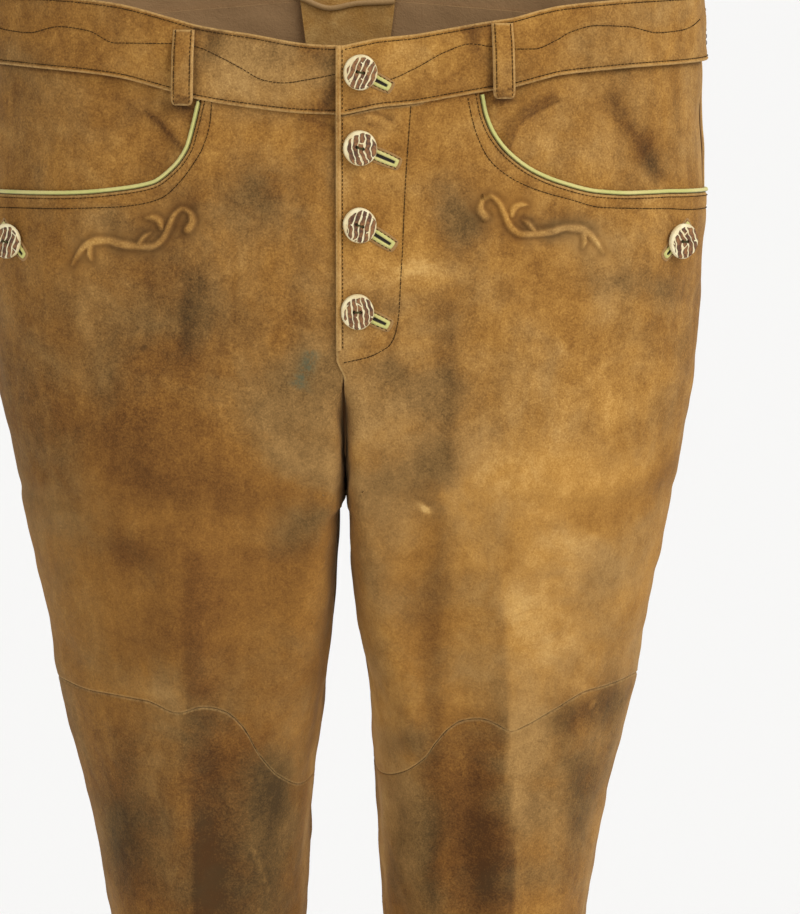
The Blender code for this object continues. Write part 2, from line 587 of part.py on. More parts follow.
def relief_scroll(side, suede, parts):
    """The strokes of one scroll, each raised from the leather, joined into one piece."""
    start_around, start_height = SCROLL_START[side]
    made = []
    for stroke, rows in scroll_strokes():
        steps = np.linspace(0, len(rows) - 1, (len(rows) - 1) * 2 + 1)
        out, up, width = (curve_through([(i, row[c]) for i, row in enumerate(rows)], steps) * 0.001 for c in range(3))
        line = np.stack([start_around + out / QUARTER, start_height + up], axis=1)
        name = "relief_scroll_" + side if stroke == "stem" else "scroll_" + stroke
        made.append(ribbon_on(name, side, line, width, SEAM, 0.0010, suede, parts))
    stem, branches = made[0], made[1:]
    for branch in branches:
        join = stem.modifiers.new("join_" + branch.name, "BOOLEAN")
        join.operation = "UNION"
        join.object = branch
    mesh = bpy.data.meshes.new_from_object(stem.evaluated_get(bpy.context.evaluated_depsgraph_get()))
    stem.modifiers.clear()
    stem.data = mesh
    for branch in branches:
        bpy.data.objects.remove(branch)
    return stem


def frame_at(side, around, height, lift):
    """A matrix with X along the waist towards the wearer's left, Y up and Z out of the leather."""
    centre = Vector(skin(side, around, height, lift)[0])
    normal = Vector(outward(side, around, height)[0])
    out = Vector(skin(side, around + 0.01, height)[0]) - Vector(skin(side, around - 0.01, height)[0])
    out = (out - normal * out.dot(normal)).normalized()
    up = normal.cross(out) if side == "left" else out.cross(normal)
    across = out if side == "left" else -out
    turned = Matrix((across, up, normal)).transposed().to_4x4()
    turned.translation = centre
    return turned


def button(name, side, around, height, lift, lean, horn, parts):
    """A turned horn button, slightly domed, with a worn-down rim; lean tips its face towards the centre front."""
    radius, thick = BUTTON_RADIUS, BUTTON_THICK
    profile = [(0.0, thick), (radius * 0.45, thick * 0.97), (radius * 0.82, thick * 0.86), (radius * 0.97, thick * 0.62),
               (radius, thick * 0.38), (radius * 0.90, thick * 0.08), (radius * 0.80, 0.0), (0.0, 0.0)]
    mesh = bpy.data.meshes.new(name)
    mesh.from_pydata([(r, 0.0, z) for r, z in profile], [(i, i + 1) for i in range(len(profile) - 1)], [])
    made = add_object(name, mesh, horn, parts)
    turn = made.modifiers.new("turn", "SCREW")
    turn.steps = turn.render_steps = 18
    turn.use_merge_vertices = True
    turn.merge_threshold = 0.00001
    tip = -lean if side == "left" else lean
    made.matrix_world = frame_at(side, around, height, lift) @ Matrix.Rotation(tip, 4, "Y")
    return made


def buttonhole(name, side, around, height, slant, length, lift, green, parts):
    """Two bound lips round a slit: a flat ring with round ends, laid on the leather."""
    straight = (length - HOLE_WIDTH) / 2
    lip = 0.0028

    def ring(level):
        def surface(across, down):
            angle = across * 2 * math.pi
            half = HOLE_WIDTH / 2 - lip * down
            u = straight * np.clip(1.4 * np.cos(angle), -1.0, 1.0) + half * np.cos(angle)
            v = half * np.sin(angle)
            turned_u = u * math.cos(slant) - v * math.sin(slant)
            turned_v = u * math.sin(slant) + v * math.cos(slant)
            return skin(side, around + turned_u / QUARTER, height + turned_v, level)
        return surface

    made = wall(name, 24, 1, ring(lift + 0.0009), ring(lift), green, parts)
    body = bmesh.new()
    body.from_mesh(made.data)
    bmesh.ops.remove_doubles(body, verts=body.verts[:], dist=0.00005)
    inside = [face for face in body.faces if all(len(edge.link_faces) > 2 for edge in face.edges)]
    bmesh.ops.delete(body, geom=inside, context="FACES")
    face_outwards(body)
    body.to_mesh(made.data)
    body.free()
    return made


def belt_loop(number, side, around, suede, parts):
    """A strap from the top of the band to just below it, standing off in the middle, its end turned under."""
    drop = float(band_seam(side, around))
    top = drop + BAND_HEIGHT - 0.002
    low = drop - 0.0055
    levels = [0.0, 0.06, 0.16, 0.33, 0.55, 0.75, 0.88, 0.95, 1.0]

    def place(across, share):
        return around + (across - 0.5) * LOOP_WIDTH / QUARTER, top + (low - top) * share

    def lift(across, height):
        share = (top - height) / (top - low)
        return LAYER + SEAM + LOOP_LEATHER + 0.0022 * smooth(0.0, 0.35, share) * (1 - 0.35 * smooth(0.75, 1.0, share))

    return sheet("belt_loop_%d" % number, side, [0.0, 0.5, 1.0], levels, place, lift, suede, parts,
                 thick=LOOP_LEATHER, folds=())


def back_gusset(suede, parts):
    """The panel behind the back notch, across the centre back."""
    def half_place(share, down):
        spread = (share - 0.5) * 2
        width = (NOTCH_HALF_WIDTH + 0.010) * (1 - 0.45 * down)
        top = band_top("left", 2.0) - 0.003
        return spread * width, top + (NOTCH_BOTTOM - 0.010 - top) * down

    def layer(depth):
        def surface(across, down):
            x, height = half_place(across, down)
            points = skin("left", 2.0 - np.abs(x) / QUARTER, height, -LAYER - SEAM - depth, ())
            points[:, 0] = np.where(x < 0, -points[:, 0], points[:, 0])
            points[:, 0] = np.where(np.abs(x) < 1e-6, 0.0, points[:, 0])
            return points
        return surface

    return wall("back_gusset", 8, 5, layer(0.0), layer(LEATHER), suede, parts)


def lace_run(name, stops, lift, thong, parts):
    """A lace over or behind the notch, through stops of (x, height)."""
    stops = np.array(stops, float)
    steps = np.linspace(0, len(stops) - 1, (len(stops) - 1) * 3 + 1)
    x = curve_through(list(enumerate(stops[:, 0])), steps)
    height = curve_through(list(enumerate(stops[:, 1])), steps)
    points = skin("left", 2.0 - np.abs(x) / QUARTER, height, lift, ())
    points[:, 0] = np.where(x < 0, -points[:, 0], points[:, 0])
    return swept(name, points, LACE_RADIUS, thong, parts, sides=6)


def back_lace(thong, parts):
    out = NOTCH_HALF_WIDTH + 0.006
    outside = [(-out, 0.012), (out, -0.008), (-out, -0.026), (out * 0.8, -0.044), (0.0, -0.052), (-0.012, -0.075)]
    inside = [(-out, -0.006), (-0.010, -0.012), (0.006, -0.009), (out, -0.008)]
    lace_run("back_lace_outside", outside, LAYER + SEAM + LACE_RADIUS, thong, parts)
    lace_run("back_lace_inside", inside, -2 * LAYER - 2 * SEAM - LACE_RADIUS, thong, parts)


# ---------------------------------------------------------------- the trousers
def build():
    for old in list(bpy.data.objects):
        bpy.data.objects.remove(old)
    parts = bpy.data.collections.new("lederhosen")
    bpy.context.scene.collection.children.link(parts)

    suede = material("suede", (0.42, 0.22, 0.07), 0.85)
    green = material("piping_leather", (0.52, 0.55, 0.27), 0.7)
    horn = material("stag_horn", (0.62, 0.50, 0.33), 0.4)
    thong = material("lace_leather", (0.40, 0.23, 0.09), 0.7)

    for side in ("left", "right"):
        front_panel(side, suede, parts)
        back_panel(side, suede, parts)
        lower_leg(side, "front", suede, parts)
        lower_leg(side, "back", suede, parts)
        waistband(side, suede, parts)
        pocket_facing(side, suede, parts)
        pocket_piping(side, green, parts)
        relief_scroll(side, suede, parts)
    fly_button_stand(suede, parts)
    fly_edge_strip(suede, parts)

    lip_lift = SEAM
    button_lift = SEAM + 0.0009 + SEAM
    for row in FLY_BUTTONS:
        fly = dict(zip(BUTTON_COLUMNS, row))
        layer = LAYER if fly["number"] == 1 else 0.0
        slant = math.radians(fly["slant"])
        shift = fly["reach"] - HOLE_LENGTH / 2
        hole_around = (fly["out"] + shift * math.cos(slant)) / QUARTER
        hole_height = fly["height"] + shift * math.sin(slant)
        buttonhole("fly_buttonhole_%d" % fly["number"], "left", hole_around, hole_height, slant, HOLE_LENGTH,
                   layer + lip_lift, green, parts)
        button("fly_button_%d" % fly["number"], "left", fly["out"] / QUARTER, fly["height"], layer + button_lift,
               0.0, horn, parts)
    for side in ("left", "right"):
        around, height = POCKET_BUTTON
        buttonhole("pocket_buttonhole_" + side, side, around, height, POCKET_HOLE_SLANT, POCKET_HOLE_LENGTH,
                   lip_lift, green, parts)
        button("pocket_button_" + side, side, around, height, button_lift + POCKET_BUTTON_LIFT, POCKET_BUTTON_LEAN,
               horn, parts)
    for number, side, around in BELT_LOOPS:
        belt_loop(number, side, around, suede, parts)
    back_gusset(suede, parts)
    back_lace(thong, parts)


build()
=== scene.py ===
import math
import bpy
import numpy as np
from mathutils import Matrix, Vector


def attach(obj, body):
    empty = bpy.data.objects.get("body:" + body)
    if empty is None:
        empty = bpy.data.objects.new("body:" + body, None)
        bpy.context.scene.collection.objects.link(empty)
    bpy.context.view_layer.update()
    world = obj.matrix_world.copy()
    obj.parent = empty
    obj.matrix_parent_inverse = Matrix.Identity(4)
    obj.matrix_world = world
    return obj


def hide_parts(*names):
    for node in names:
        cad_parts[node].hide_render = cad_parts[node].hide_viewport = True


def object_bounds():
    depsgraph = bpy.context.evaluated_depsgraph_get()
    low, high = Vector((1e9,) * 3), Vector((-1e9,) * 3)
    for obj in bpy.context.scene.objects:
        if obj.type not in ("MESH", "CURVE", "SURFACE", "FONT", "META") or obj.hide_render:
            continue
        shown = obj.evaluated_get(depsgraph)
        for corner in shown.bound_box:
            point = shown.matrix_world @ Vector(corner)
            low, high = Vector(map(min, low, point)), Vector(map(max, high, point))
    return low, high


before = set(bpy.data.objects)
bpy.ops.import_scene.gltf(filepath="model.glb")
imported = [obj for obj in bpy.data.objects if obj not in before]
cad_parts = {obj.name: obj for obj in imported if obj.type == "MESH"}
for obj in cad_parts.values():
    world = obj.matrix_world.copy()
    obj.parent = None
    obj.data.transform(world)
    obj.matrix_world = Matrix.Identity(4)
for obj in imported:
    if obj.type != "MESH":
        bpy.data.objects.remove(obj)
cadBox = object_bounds()
sides = ("left", "right")               # the wearer's own; left is at +X

# ---- camera and light first, so that every later look is through them
viewPoint = {"place": (0.0325, -2.31, 0.10), "target": (0.0325, -0.11, -0.262), "lens": 151.4,
             "sensor": 36.0, "nearest": 0.05, "farthest": 200.0}
lighting = {
    "world": 0.45, "floorShade": 0.90, "floorSize": 60.0,
    "suns": (       # name, where it shines from, strength, softness in degrees, warmth
        ("keySun", (1.35, -1.0, 1.30), 1.75, 34.0, (1.0, 0.985, 0.955)),
        ("fillLeft", (0.62, -1.0, 0.30), 0.45, 25.0, (1.0, 0.99, 0.97)),
        ("fillRight", (-0.62, -1.0, 0.30), 0.45, 25.0, (1.0, 0.99, 0.97)),
        ("backSun", (0.5, 1.0, 1.2), 0.80, 60.0, (1.0, 1.0, 1.0)),
    ),
}


def aim(item, target):
    item.rotation_mode = "QUATERNION"
    item.rotation_quaternion = (Vector(target) - item.location).to_track_quat("-Z", "Y")


def makeStage():
    lens = bpy.data.cameras.new("camera")
    lens.lens, lens.sensor_width = viewPoint["lens"], viewPoint["sensor"]
    lens.clip_start, lens.clip_end = viewPoint["nearest"], viewPoint["farthest"]
    camera = bpy.data.objects.new("camera", lens)
    bpy.context.scene.collection.objects.link(camera)
    camera.location = viewPoint["place"]
    aim(camera, viewPoint["target"])
    bpy.context.scene.camera = camera
    for name, place, strength, softness, warmth in lighting["suns"]:
        sun = bpy.data.lights.new(name, "SUN")
        sun.energy, sun.angle, sun.color = strength, math.radians(softness), warmth
        holder = bpy.data.objects.new(name, sun)
        bpy.context.scene.collection.objects.link(holder)
        holder.location = place
        aim(holder, (0.0, 0.0, 0.0))
    world = bpy.data.worlds.new("softRoom")
    world.use_nodes = True
    room = world.node_tree.nodes["Background"]
    room.inputs["Color"].default_value = (1.0, 1.0, 1.0, 1.0)
    room.inputs["Strength"].default_value = lighting["world"]
    bpy.context.scene.world = world
    bpy.context.scene.view_settings.view_transform = "Standard"


makeStage()
print("camera and lamps placed")

# ---- leather thickness and seams
leather = {"wall": 0.0016, "seam": 0.0003, "quarter": 0.25}
wallThick, seamGap, quarter = leather["wall"], leather["seam"], leather["quarter"]
layer = wallThick + seamGap
gapShare = seamGap / 2 / quarter

# the body under the leather: its widths, depths and roundings at each height, in metres
bodyForm = {
    "forkBend": 0.98, "riseStraight": 0.55, "riseRound": 0.45,
    "foldCorner": (
        (0.060, 2.0), (-0.205, 2.0), (-0.235, 3.0), (-0.300, 3.6), (-0.360, 3.2), (-0.440, 2.7),
        (-0.520, 2.3), (-0.620, 2.0), (-1.060, 2.0)),
    "crotch": -0.285, "frontRise": -0.215, "backRise": -0.190, "inseamY": 0.012, "hem": -1.030,
    "tableTop": 0.058, "tableBottom": -1.045, "tableStep": 0.001, "tableColumns": 257,
    "sectionSteps": 65, "sectionPower": 1.5, "innerEdge": 0.00015,
    "columns": ("z", "outer", "inner_left", "inner_right", "front", "back", "side",
                "round_outer", "round_front", "round_back", "square"),
    "rows": (
        (0.06, 0.21, 0.00015, 0.00015, -0.1035, 0.095, -0.012, 0.21, 0.006, 0.016, 2.6),
        (0, 0.211, 0.00015, 0.00015, -0.105, 0.0985, -0.011, 0.211, 0.006, 0.016, 2.6),
        (-0.06, 0.213, 0.00015, 0.00015, -0.1075, 0.108, -0.01, 0.213, 0.006, 0.016, 2.6),
        (-0.12, 0.2145, 0.00015, 0.00015, -0.109, 0.121, -0.009, 0.2145, 0.006, 0.016, 2.6),
        (-0.18, 0.2135, 0.00015, 0.00015, -0.1085, 0.131, -0.004, 0.2135, 0.006, 0.018, 2.6),
        (-0.22, 0.211, 0.00015, 0.00015, -0.107, 0.133, 0.002, 0.205, 0.007, 0.021, 2.5),
        (-0.25, 0.2076, 0.00015, 0.00015, -0.105, 0.131, 0.005, 0.185, 0.009, 0.024, 2.4),
        (-0.285, 0.2018, 0.00015, 0.00015, -0.1025, 0.1255, 0.008, 0.15, 0.012, 0.028, 2.3),
        (-0.2975, 0.199, 0.00015, 0.00015, -0.1009, 0.1218, 0.009, 0.1394, 0.015, 0.03, 2.2),
        (-0.3005, 0.1989, 0.0015, 0.0032, -0.1007, 0.1211, 0.009, 0.1373, 0.015, 0.03, 2.2),
        (-0.315, 0.1961, 0.0016, 0.0041, -0.1, 0.1185, 0.01, 0.13, 0.018, 0.032, 2.2),
        (-0.34, 0.1909, 0.003, 0.0056, -0.0975, 0.114, 0.01, 0.12, 0.025, 0.036, 2.2),
        (-0.365, 0.1858, 0.0048, 0.007, -0.095, 0.11, 0.01, 0.11, 0.032, 0.04, 2.2),
        (-0.39, 0.1816, 0.008, 0.0093, -0.092, 0.1065, 0.01, 0.104, 0.038, 0.043, 2.1),
        (-0.415, 0.1776, 0.0126, 0.012, -0.0892, 0.103, 0.01, 0.098, 0.043, 0.047, 2.1),
        (-0.44, 0.1728, 0.0152, 0.0152, -0.0863, 0.0998, 0.01, 0.093, 0.047, 0.049, 2.1),
        (-0.466, 0.1664, 0.0162, 0.019, -0.0835, 0.097, 0.011, 0.087, 0.05, 0.05, 2.1),
        (-0.517, 0.1556, 0.0194, 0.0234, -0.0785, 0.0935, 0.012, 0.076, 0.052, 0.052, 2.1),
        (-0.56, 0.1493, 0.0222, 0.026, -0.0755, 0.0915, 0.013, 0.07, 0.054, 0.054, 2.1),
        (-0.65, 0.1405, 0.0245, 0.027, -0.07, 0.0905, 0.016, 0.063, 0.053, 0.053, 2.1),
        (-0.8, 0.133, 0.022, 0.024, -0.0645, 0.087, 0.019, 0.06, 0.052, 0.052, 2.1),
        (-1.06, 0.129, 0.016, 0.018, -0.06, 0.083, 0.021, 0.06, 0.052, 0.052, 2.1),
    ),
}
seams = {       # heights for places around the body: 0 centre front, 1 side seam, 2 centre back
    "band_left": (
        (0, -0.064), (0.05, -0.0612), (0.08, -0.0597), (0.15, -0.0579), (0.23, -0.0544),
        (0.32, -0.0505), (0.37, -0.0487), (0.44, -0.0442), (0.48, -0.042), (0.57, -0.0398),
        (0.66, -0.0384), (0.75, -0.0378), (1, -0.037), (1.4, -0.027), (2, -0.015)),
    "band_right": (
        (0, -0.064), (0.09, -0.0631), (0.22, -0.0594), (0.33, -0.0546), (0.38, -0.0509), (0.51, -0.043),
        (0.62, -0.0402), (0.75, -0.0385), (1, -0.037), (1.4, -0.027), (2, -0.015)),
    "mouth_left": (
        (0.297, -0.0525), (0.305, -0.064), (0.325, -0.0765), (0.361, -0.0882), (0.413, -0.0982),
        (0.477, -0.1053), (0.561, -0.1109), (0.646, -0.1126), (0.732, -0.1129), (0.8, -0.1139),
        (1, -0.117)),
    "mouth_right": (
        (0.309, -0.056), (0.32, -0.069), (0.336, -0.0842), (0.369, -0.096), (0.417, -0.105),
        (0.498, -0.1092), (0.59, -0.1118), (0.69, -0.113), (0.8, -0.1142), (1, -0.117)),
    "cross_left": (
        (0, -0.472), (0.18, -0.4663), (0.27, -0.4603), (0.35, -0.449), (0.38, -0.4395), (0.41, -0.4305),
        (0.44, -0.4253), (0.48, -0.4237), (0.51, -0.4266), (0.54, -0.4308), (0.57, -0.4275),
        (0.63, -0.4193), (0.72, -0.4108), (0.85, -0.4105), (1, -0.415), (1.25, -0.421), (1.5, -0.437),
        (1.75, -0.458), (2, -0.472)),
    "cross_right": (
        (0, -0.475), (0.2, -0.4712), (0.3, -0.4614), (0.37, -0.4455), (0.41, -0.4281), (0.45, -0.4188),
        (0.5, -0.4155), (0.54, -0.4182), (0.61, -0.4133), (0.68, -0.4125), (0.85, -0.4125), (1, -0.416),
        (1.25, -0.422), (1.5, -0.438), (1.75, -0.46), (2, -0.475)),
}
fly = {"overlap": 0.0042, "stripWidth": 0.0028, "bottom": -0.205, "closed": -0.217, "underEdge": 0.0033,
       "standWidth": 0.038, "standBottom": -0.197, "underClosed": -0.213, "underBottom": -0.200,
       "sunkFrom": 0.006, "sunkTo": 0.016, "sunkClosed": -0.235, "sunkBottom": -0.214}
band = {"height": 0.0395, "lap": 0.007, "notchBottom": -0.080, "notchHalf": 0.021, "notchRound": 0.05,
        "endRise": 0.0015, "ridge": 0.00045, "ridgeWidth": 0.0009}

# where a fold fades in and out along its line
foldEnds = {"straight": (-0.05, 0.25, 0.75, 1.05), "bent": (0.0, 0.15, 0.85, 1.0)}
# each fold runs through its line of (around, height in millimetres); step is a bulge beside a hollow
folds = {      # half width, rise, line, and the shape where it is not a soft one
    "left": (
        (0.022, -0.0035, ((0.43, -285), (0.41, -560))),
        (0.012, 0.0045, ((0.53, -390), (0.54, -1050))),
        (0.013, -0.0025, ((0.14, -205), (0.46, -262))),
        (0.015, -0.0035, ((1.12, -290), (1.45, -345))),
        (0.016, -0.0045, ((1.25, -262), (1.7, -318))),
        (0.014, -0.004, ((1.2, -560), (1.85, -590))),
        (0.014, -0.003, ((1.3, -640), (1.9, -625))),
        (0.012, 0.004, ((1.4, -420), (1.47, -1050))),
        (0.014, -0.0025, ((0.2, -930), (0.9, -960))),
    ),
    "right": (
        (0.012, 0.0045, ((0.53, -250), (0.53, -1050))),
        (0.024, -0.003, ((0.4, -280), (0.38, -440))),
        (0.013, -0.0022, ((0.12, -205), (0.4, -272))),
        (0.015, -0.0035, ((1.12, -310), (1.45, -350))),
        (0.016, -0.0045, ((1.25, -270), (1.7, -312))),
        (0.014, -0.004, ((1.15, -580), (1.8, -560))),
        (0.014, -0.003, ((1.25, -620), (1.85, -650))),
        (0.012, 0.004, ((1.4, -420), (1.47, -1050))),
        (0.014, -0.0025, ((0.15, -950), (0.85, -925))),
    ),
}
facingFolds = {
    "left": (
        (0.0042, 0.0016, ((0.35, -84), (0.39, -74), (0.42, -64), (0.485, -53)), "step"),
        (0.009, 0.0016, ((0.45, -98), (0.52, -88), (0.59, -100))),
        (0.0024, 0.001, ((0.352, -80), (0.38, -69), (0.41, -60))),
        (0.006, -0.001, ((0.56, -50), (0.6, -60), (0.64, -100))),
        (0.01, -0.0016, ((0.62, -50), (0.75, -112))),
    ),
    "right": (
        (0.005, -0.0014, ((0.445, -61), (0.39, -74), (0.345, -88)), "step"),
        (0.009, -0.0014, ((0.62, -50), (0.72, -105))),
    ),
}
# finer creases of worn suede, on what shows in front and alike behind
creases = {
    "left": (
        (0.0075, 0.0011, (
            (0.226, -175), (0.229, -218), (0.3, -245), (0.38, -275), (0.432, -302), (0.42, -330),
            (0.405, -360), (0.386, -412), (0.384, -470), (0.383, -545)), "step"),
        (0.006, 0.001, (
            (0.478, -325), (0.509, -350), (0.529, -374), (0.529, -450), (0.539, -540),
            (0.54, -1030)), "sharp"),
        (0.0014, 0.0004, ((0.127, -221.1), (0.151, -227.4), (0.171, -233.7))),
        (0.0016, 0.0004, ((0.72, -418), (0.78, -436))),
        (0.0035, -0.0011, ((0.014, -71), (0.06, -69), (0.113, -64))),
        (0.003, -0.001, ((0.02, -79), (0.07, -74.5), (0.13, -73.5))),
        (0.006, -0.0012, ((0.045, -95), (0.1, -112), (0.15, -115))),
        (0.007, -0.0007, ((0.04, -140), (0.09, -156), (0.13, -164))),
        (0.006, -0.0008, ((0.012, -190), (0.07, -178), (0.11, -170))),
        (0.01, -0.0012, ((0.02, -225), (0.12, -238), (0.26, -245))),
        (0.012, -0.001, ((0.3, -145), (0.48, -170), (0.7, -175))),
        (0.012, -0.001, ((0.52, -195), (0.7, -208), (0.9, -190))),
        (0.012, -0.001, ((0.6, -360), (0.78, -390), (0.95, -385))),
        (0.011, -0.0013, ((0.18, -490), (0.4, -505), (0.7, -480))),
        (0.012, -0.0014, ((0.15, -560), (0.42, -575), (0.8, -550))),
        (0.011, -0.0015, ((0.1, -870), (0.4, -885), (0.75, -860))),
        (0.01, -0.0016, ((0.25, -990), (0.5, -998), (0.8, -985))),
        (0.013, -0.0014, ((1.05, -180), (1.35, -210), (1.7, -205))),
        (0.011, -0.0015, ((1.65, -245), (1.82, -262), (1.95, -280))),
        (0.012, -0.0016, ((1.3, -380), (1.55, -395), (1.85, -380))),
        (0.011, -0.002, ((1.25, -510), (1.5, -525), (1.8, -515))),
        (0.012, -0.0018, ((1.2, -730), (1.5, -750), (1.8, -735))),
        (0.011, -0.0018, ((1.15, -930), (1.45, -945), (1.8, -935))),
        (0.01, -0.0012, ((1.6, -105), (1.78, -120), (1.94, -115))),
    ),
    "right": (
        (0.006, 0.0011, (
            (0.495, -320), (0.512, -360), (0.516, -410), (0.507, -450), (0.506, -530),
            (0.53, -1030)), "sharp"),
        (0.01, -0.0011, ((0.475, -335), (0.485, -400), (0.47, -470), (0.462, -560))),
        (0.0016, 0.0005, ((0.618, -481), (0.59, -482.6), (0.56, -480), (0.526, -473.7))),
        (0.002, 0.0005, ((0.379, -500.5), (0.355, -514.7), (0.315, -535))),
        (0.002, 0.0004, ((0.398, -496), (0.372, -511), (0.352, -530))),
        (0.004, -0.0011, ((0.07, -65.5), (0.035, -68), (0.008, -74))),
        (0.006, -0.0007, ((0.14, -70), (0.075, -79), (0.02, -90))),
        (0.007, -0.0007, ((0.02, -125), (0.09, -118), (0.15, -115))),
        (0.007, -0.0007, ((0.018, -172), (0.08, -162), (0.14, -160))),
        (0.01, -0.0012, ((0.02, -230), (0.14, -240), (0.28, -250))),
        (0.013, -0.0009, ((0.24, -170), (0.4, -195), (0.65, -200))),
        (0.012, -0.0008, ((0.52, -155), (0.7, -170), (0.9, -165))),
        (0.012, -0.001, ((0.6, -375), (0.78, -395), (0.95, -390))),
        (0.011, -0.0013, ((0.18, -500), (0.38, -515), (0.7, -495))),
        (0.012, -0.0014, ((0.15, -555), (0.42, -590), (0.8, -570))),
        (0.011, -0.0015, ((0.1, -880), (0.4, -865), (0.75, -890))),
        (0.01, -0.0016, ((0.25, -983), (0.5, -997), (0.8, -993))),
        (0.013, -0.0014, ((1.05, -185), (1.35, -205), (1.7, -215))),
        (0.011, -0.0015, ((1.65, -240), (1.82, -266), (1.95, -282))),
        (0.012, -0.0016, ((1.3, -375), (1.55, -400), (1.85, -385))),
        (0.011, -0.002, ((1.25, -515), (1.5, -520), (1.8, -525))),
        (0.012, -0.0018, ((1.2, -745), (1.5, -735), (1.8, -750))),
        (0.011, -0.0018, ((1.15, -940), (1.45, -930), (1.8, -945))),
        (0.01, -0.0012, ((1.6, -110), (1.78, -115), (1.94, -122))),
    ),
}
swell = {"waves": 46, "longest": 0.110, "shortest": 0.016, "rise": 0.00019, "seed": 11}


# ---- the leather's surface, on which every piece is laid
def smooth(low, high, value):
    share = np.clip((np.asarray(value, float) - low) / (high - low), 0.0, 1.0)
    return share * share * (3 - 2 * share)


# a smooth curve through points that never overshoots between two of them
def curveThrough(points, where):
    xs, ys = (np.array(column, float) for column in zip(*points))
    if xs[0] > xs[-1]:
        xs, ys = xs[::-1], ys[::-1]
    rise = np.diff(ys) / np.diff(xs)
    both = rise[:-1] * rise[1:]
    middle = np.where(both > 0, 2 * both / np.where(both > 0, rise[:-1] + rise[1:], 1.0), 0.0)
    slopes = np.concatenate([rise[:1], middle, rise[-1:]])
    where = np.clip(np.asarray(where, float), xs[0], xs[-1])
    index = np.clip(np.searchsorted(xs, where) - 1, 0, len(xs) - 2)
    step = xs[index + 1] - xs[index]
    t = (where - xs[index]) / step
    return ((2 * t**3 - 3 * t**2 + 1) * ys[index] + (t**3 - 2 * t**2 + t) * step * slopes[index]
            + (3 * t**2 - 2 * t**3) * ys[index + 1] + (t**3 - t**2) * step * slopes[index + 1])


def section(column, height):
    place = bodyForm["columns"].index(column)
    return curveThrough([(row[0], row[place]) for row in bodyForm["rows"]], height)


# how far the rise has run in to the inseam, from 0 at its top to 1 at the crotch
def riseShare(height, top):
    t = np.clip((top - height) / (top - bodyForm["crotch"]), 0.0, 1.0)
    bend = bodyForm["forkBend"]
    rounded = bodyForm["riseRound"] * (1 - np.sqrt(1 - (bend * t) ** 2)) / (1 - math.sqrt(1 - bend ** 2))
    return bodyForm["riseStraight"] * t * smooth(0.0, 0.2, t) + rounded


def profileY(side, face, x, height, corner=2.0):
    inner, outer = section("inner_" + side, height), section("outer", height)
    sideY, flat = section("side", height), section(face, height)
    top = bodyForm["frontRise"] if face == "front" else bodyForm["backRise"]
    reach = np.minimum(section("round_outer", height), outer)
    out = np.clip((outer - x) / reach, 0.0, 1.0)
    square = section("square", height)
    rounded = sideY + (flat - sideY) * (1 - (1 - out) ** square) ** (1 / square)
    gap = -seamGap / 2 if face == "front" else seamGap / 2
    edge = flat + (bodyForm["inseamY"] + gap - flat) * riseShare(height, top)
    into = np.clip((x - inner) / section("round_" + face, height), 0.0, 1.0)
    return edge + (rounded - edge) * (1 - (1 - into) ** corner) ** (1 / corner)


def makeBodyTable():
    heights = np.arange(bodyForm["tableTop"], bodyForm["tableBottom"], -bodyForm["tableStep"])
    turn = np.linspace(0, math.pi, bodyForm["sectionSteps"])
    spread = 1 - ((1 + np.cos(turn)) / 2) ** bodyForm["sectionPower"]
    shares = np.linspace(0, 1, bodyForm["tableColumns"])
    table = {}
    for side in sides:
        inner, outer = section("inner_" + side, heights)[:, None], section("outer", heights)[:, None]
        xs = inner + (outer - inner) * spread[None, :]
        for face in ("front", "back"):
            rows = np.repeat(heights[:, None], len(spread), axis=1)
            ys = profileY(side, face, xs, rows)
            # the leather lies a little fuller over the front inner fold than its run round the leg
            full = ys
            if face == "front":
                full = profileY(side, face, xs, rows, curveThrough(bodyForm["foldCorner"], rows))
            run = np.hypot(np.diff(xs, axis=1), np.diff(ys, axis=1))
            arc = np.concatenate([np.zeros((len(heights), 1)), np.cumsum(run, axis=1)], axis=1)
            grid = np.empty((len(heights), len(shares), 2))
            for row in range(len(heights)):
                grid[row, :, 0] = np.interp(shares * arc[row, -1], arc[row], xs[row])
                grid[row, :, 1] = np.interp(shares * arc[row, -1], arc[row], full[row])
            table[side, face] = grid
    return table


bodyTable = makeBodyTable()


# points on the body at places around it and heights
def bareSkin(side, around, height):
    around, height = (np.array(v, float).ravel() for v in np.broadcast_arrays(around, height))
    share = np.where(around <= 1, around, 2 - around)
    points = np.empty((len(around), 3))
    points[:, 2] = height
    for face, chosen in (("front", around <= 1), ("back", around > 1)):
        if not chosen.any():
            continue
        grid = bodyTable[side, face]
        lastRow, lastColumn = grid.shape[0] - 1.001, grid.shape[1] - 1.001
        row = np.clip((bodyForm["tableTop"] - height[chosen]) / bodyForm["tableStep"], 0, lastRow)
        column = np.clip(np.abs(share[chosen]) * (grid.shape[1] - 1), 0, lastColumn)
        r, c = row.astype(int), column.astype(int)
        fr, fc = (row - r)[:, None], (column - c)[:, None]
        spot = ((grid[r, c] * (1 - fc) + grid[r, c + 1] * fc) * (1 - fr)
                + (grid[r + 1, c] * (1 - fc) + grid[r + 1, c + 1] * fc) * fr)
        x = np.where(share[chosen] < 0, 2 * bodyForm["innerEdge"] - spot[:, 0], spot[:, 0])
        points[chosen, 0] = x if side == "left" else -x
        points[chosen, 1] = spot[:, 1]
    return points


wayOut = {"reach": 0.004, "lessAtCrotch": 0.75, "crotchReach": 0.015}


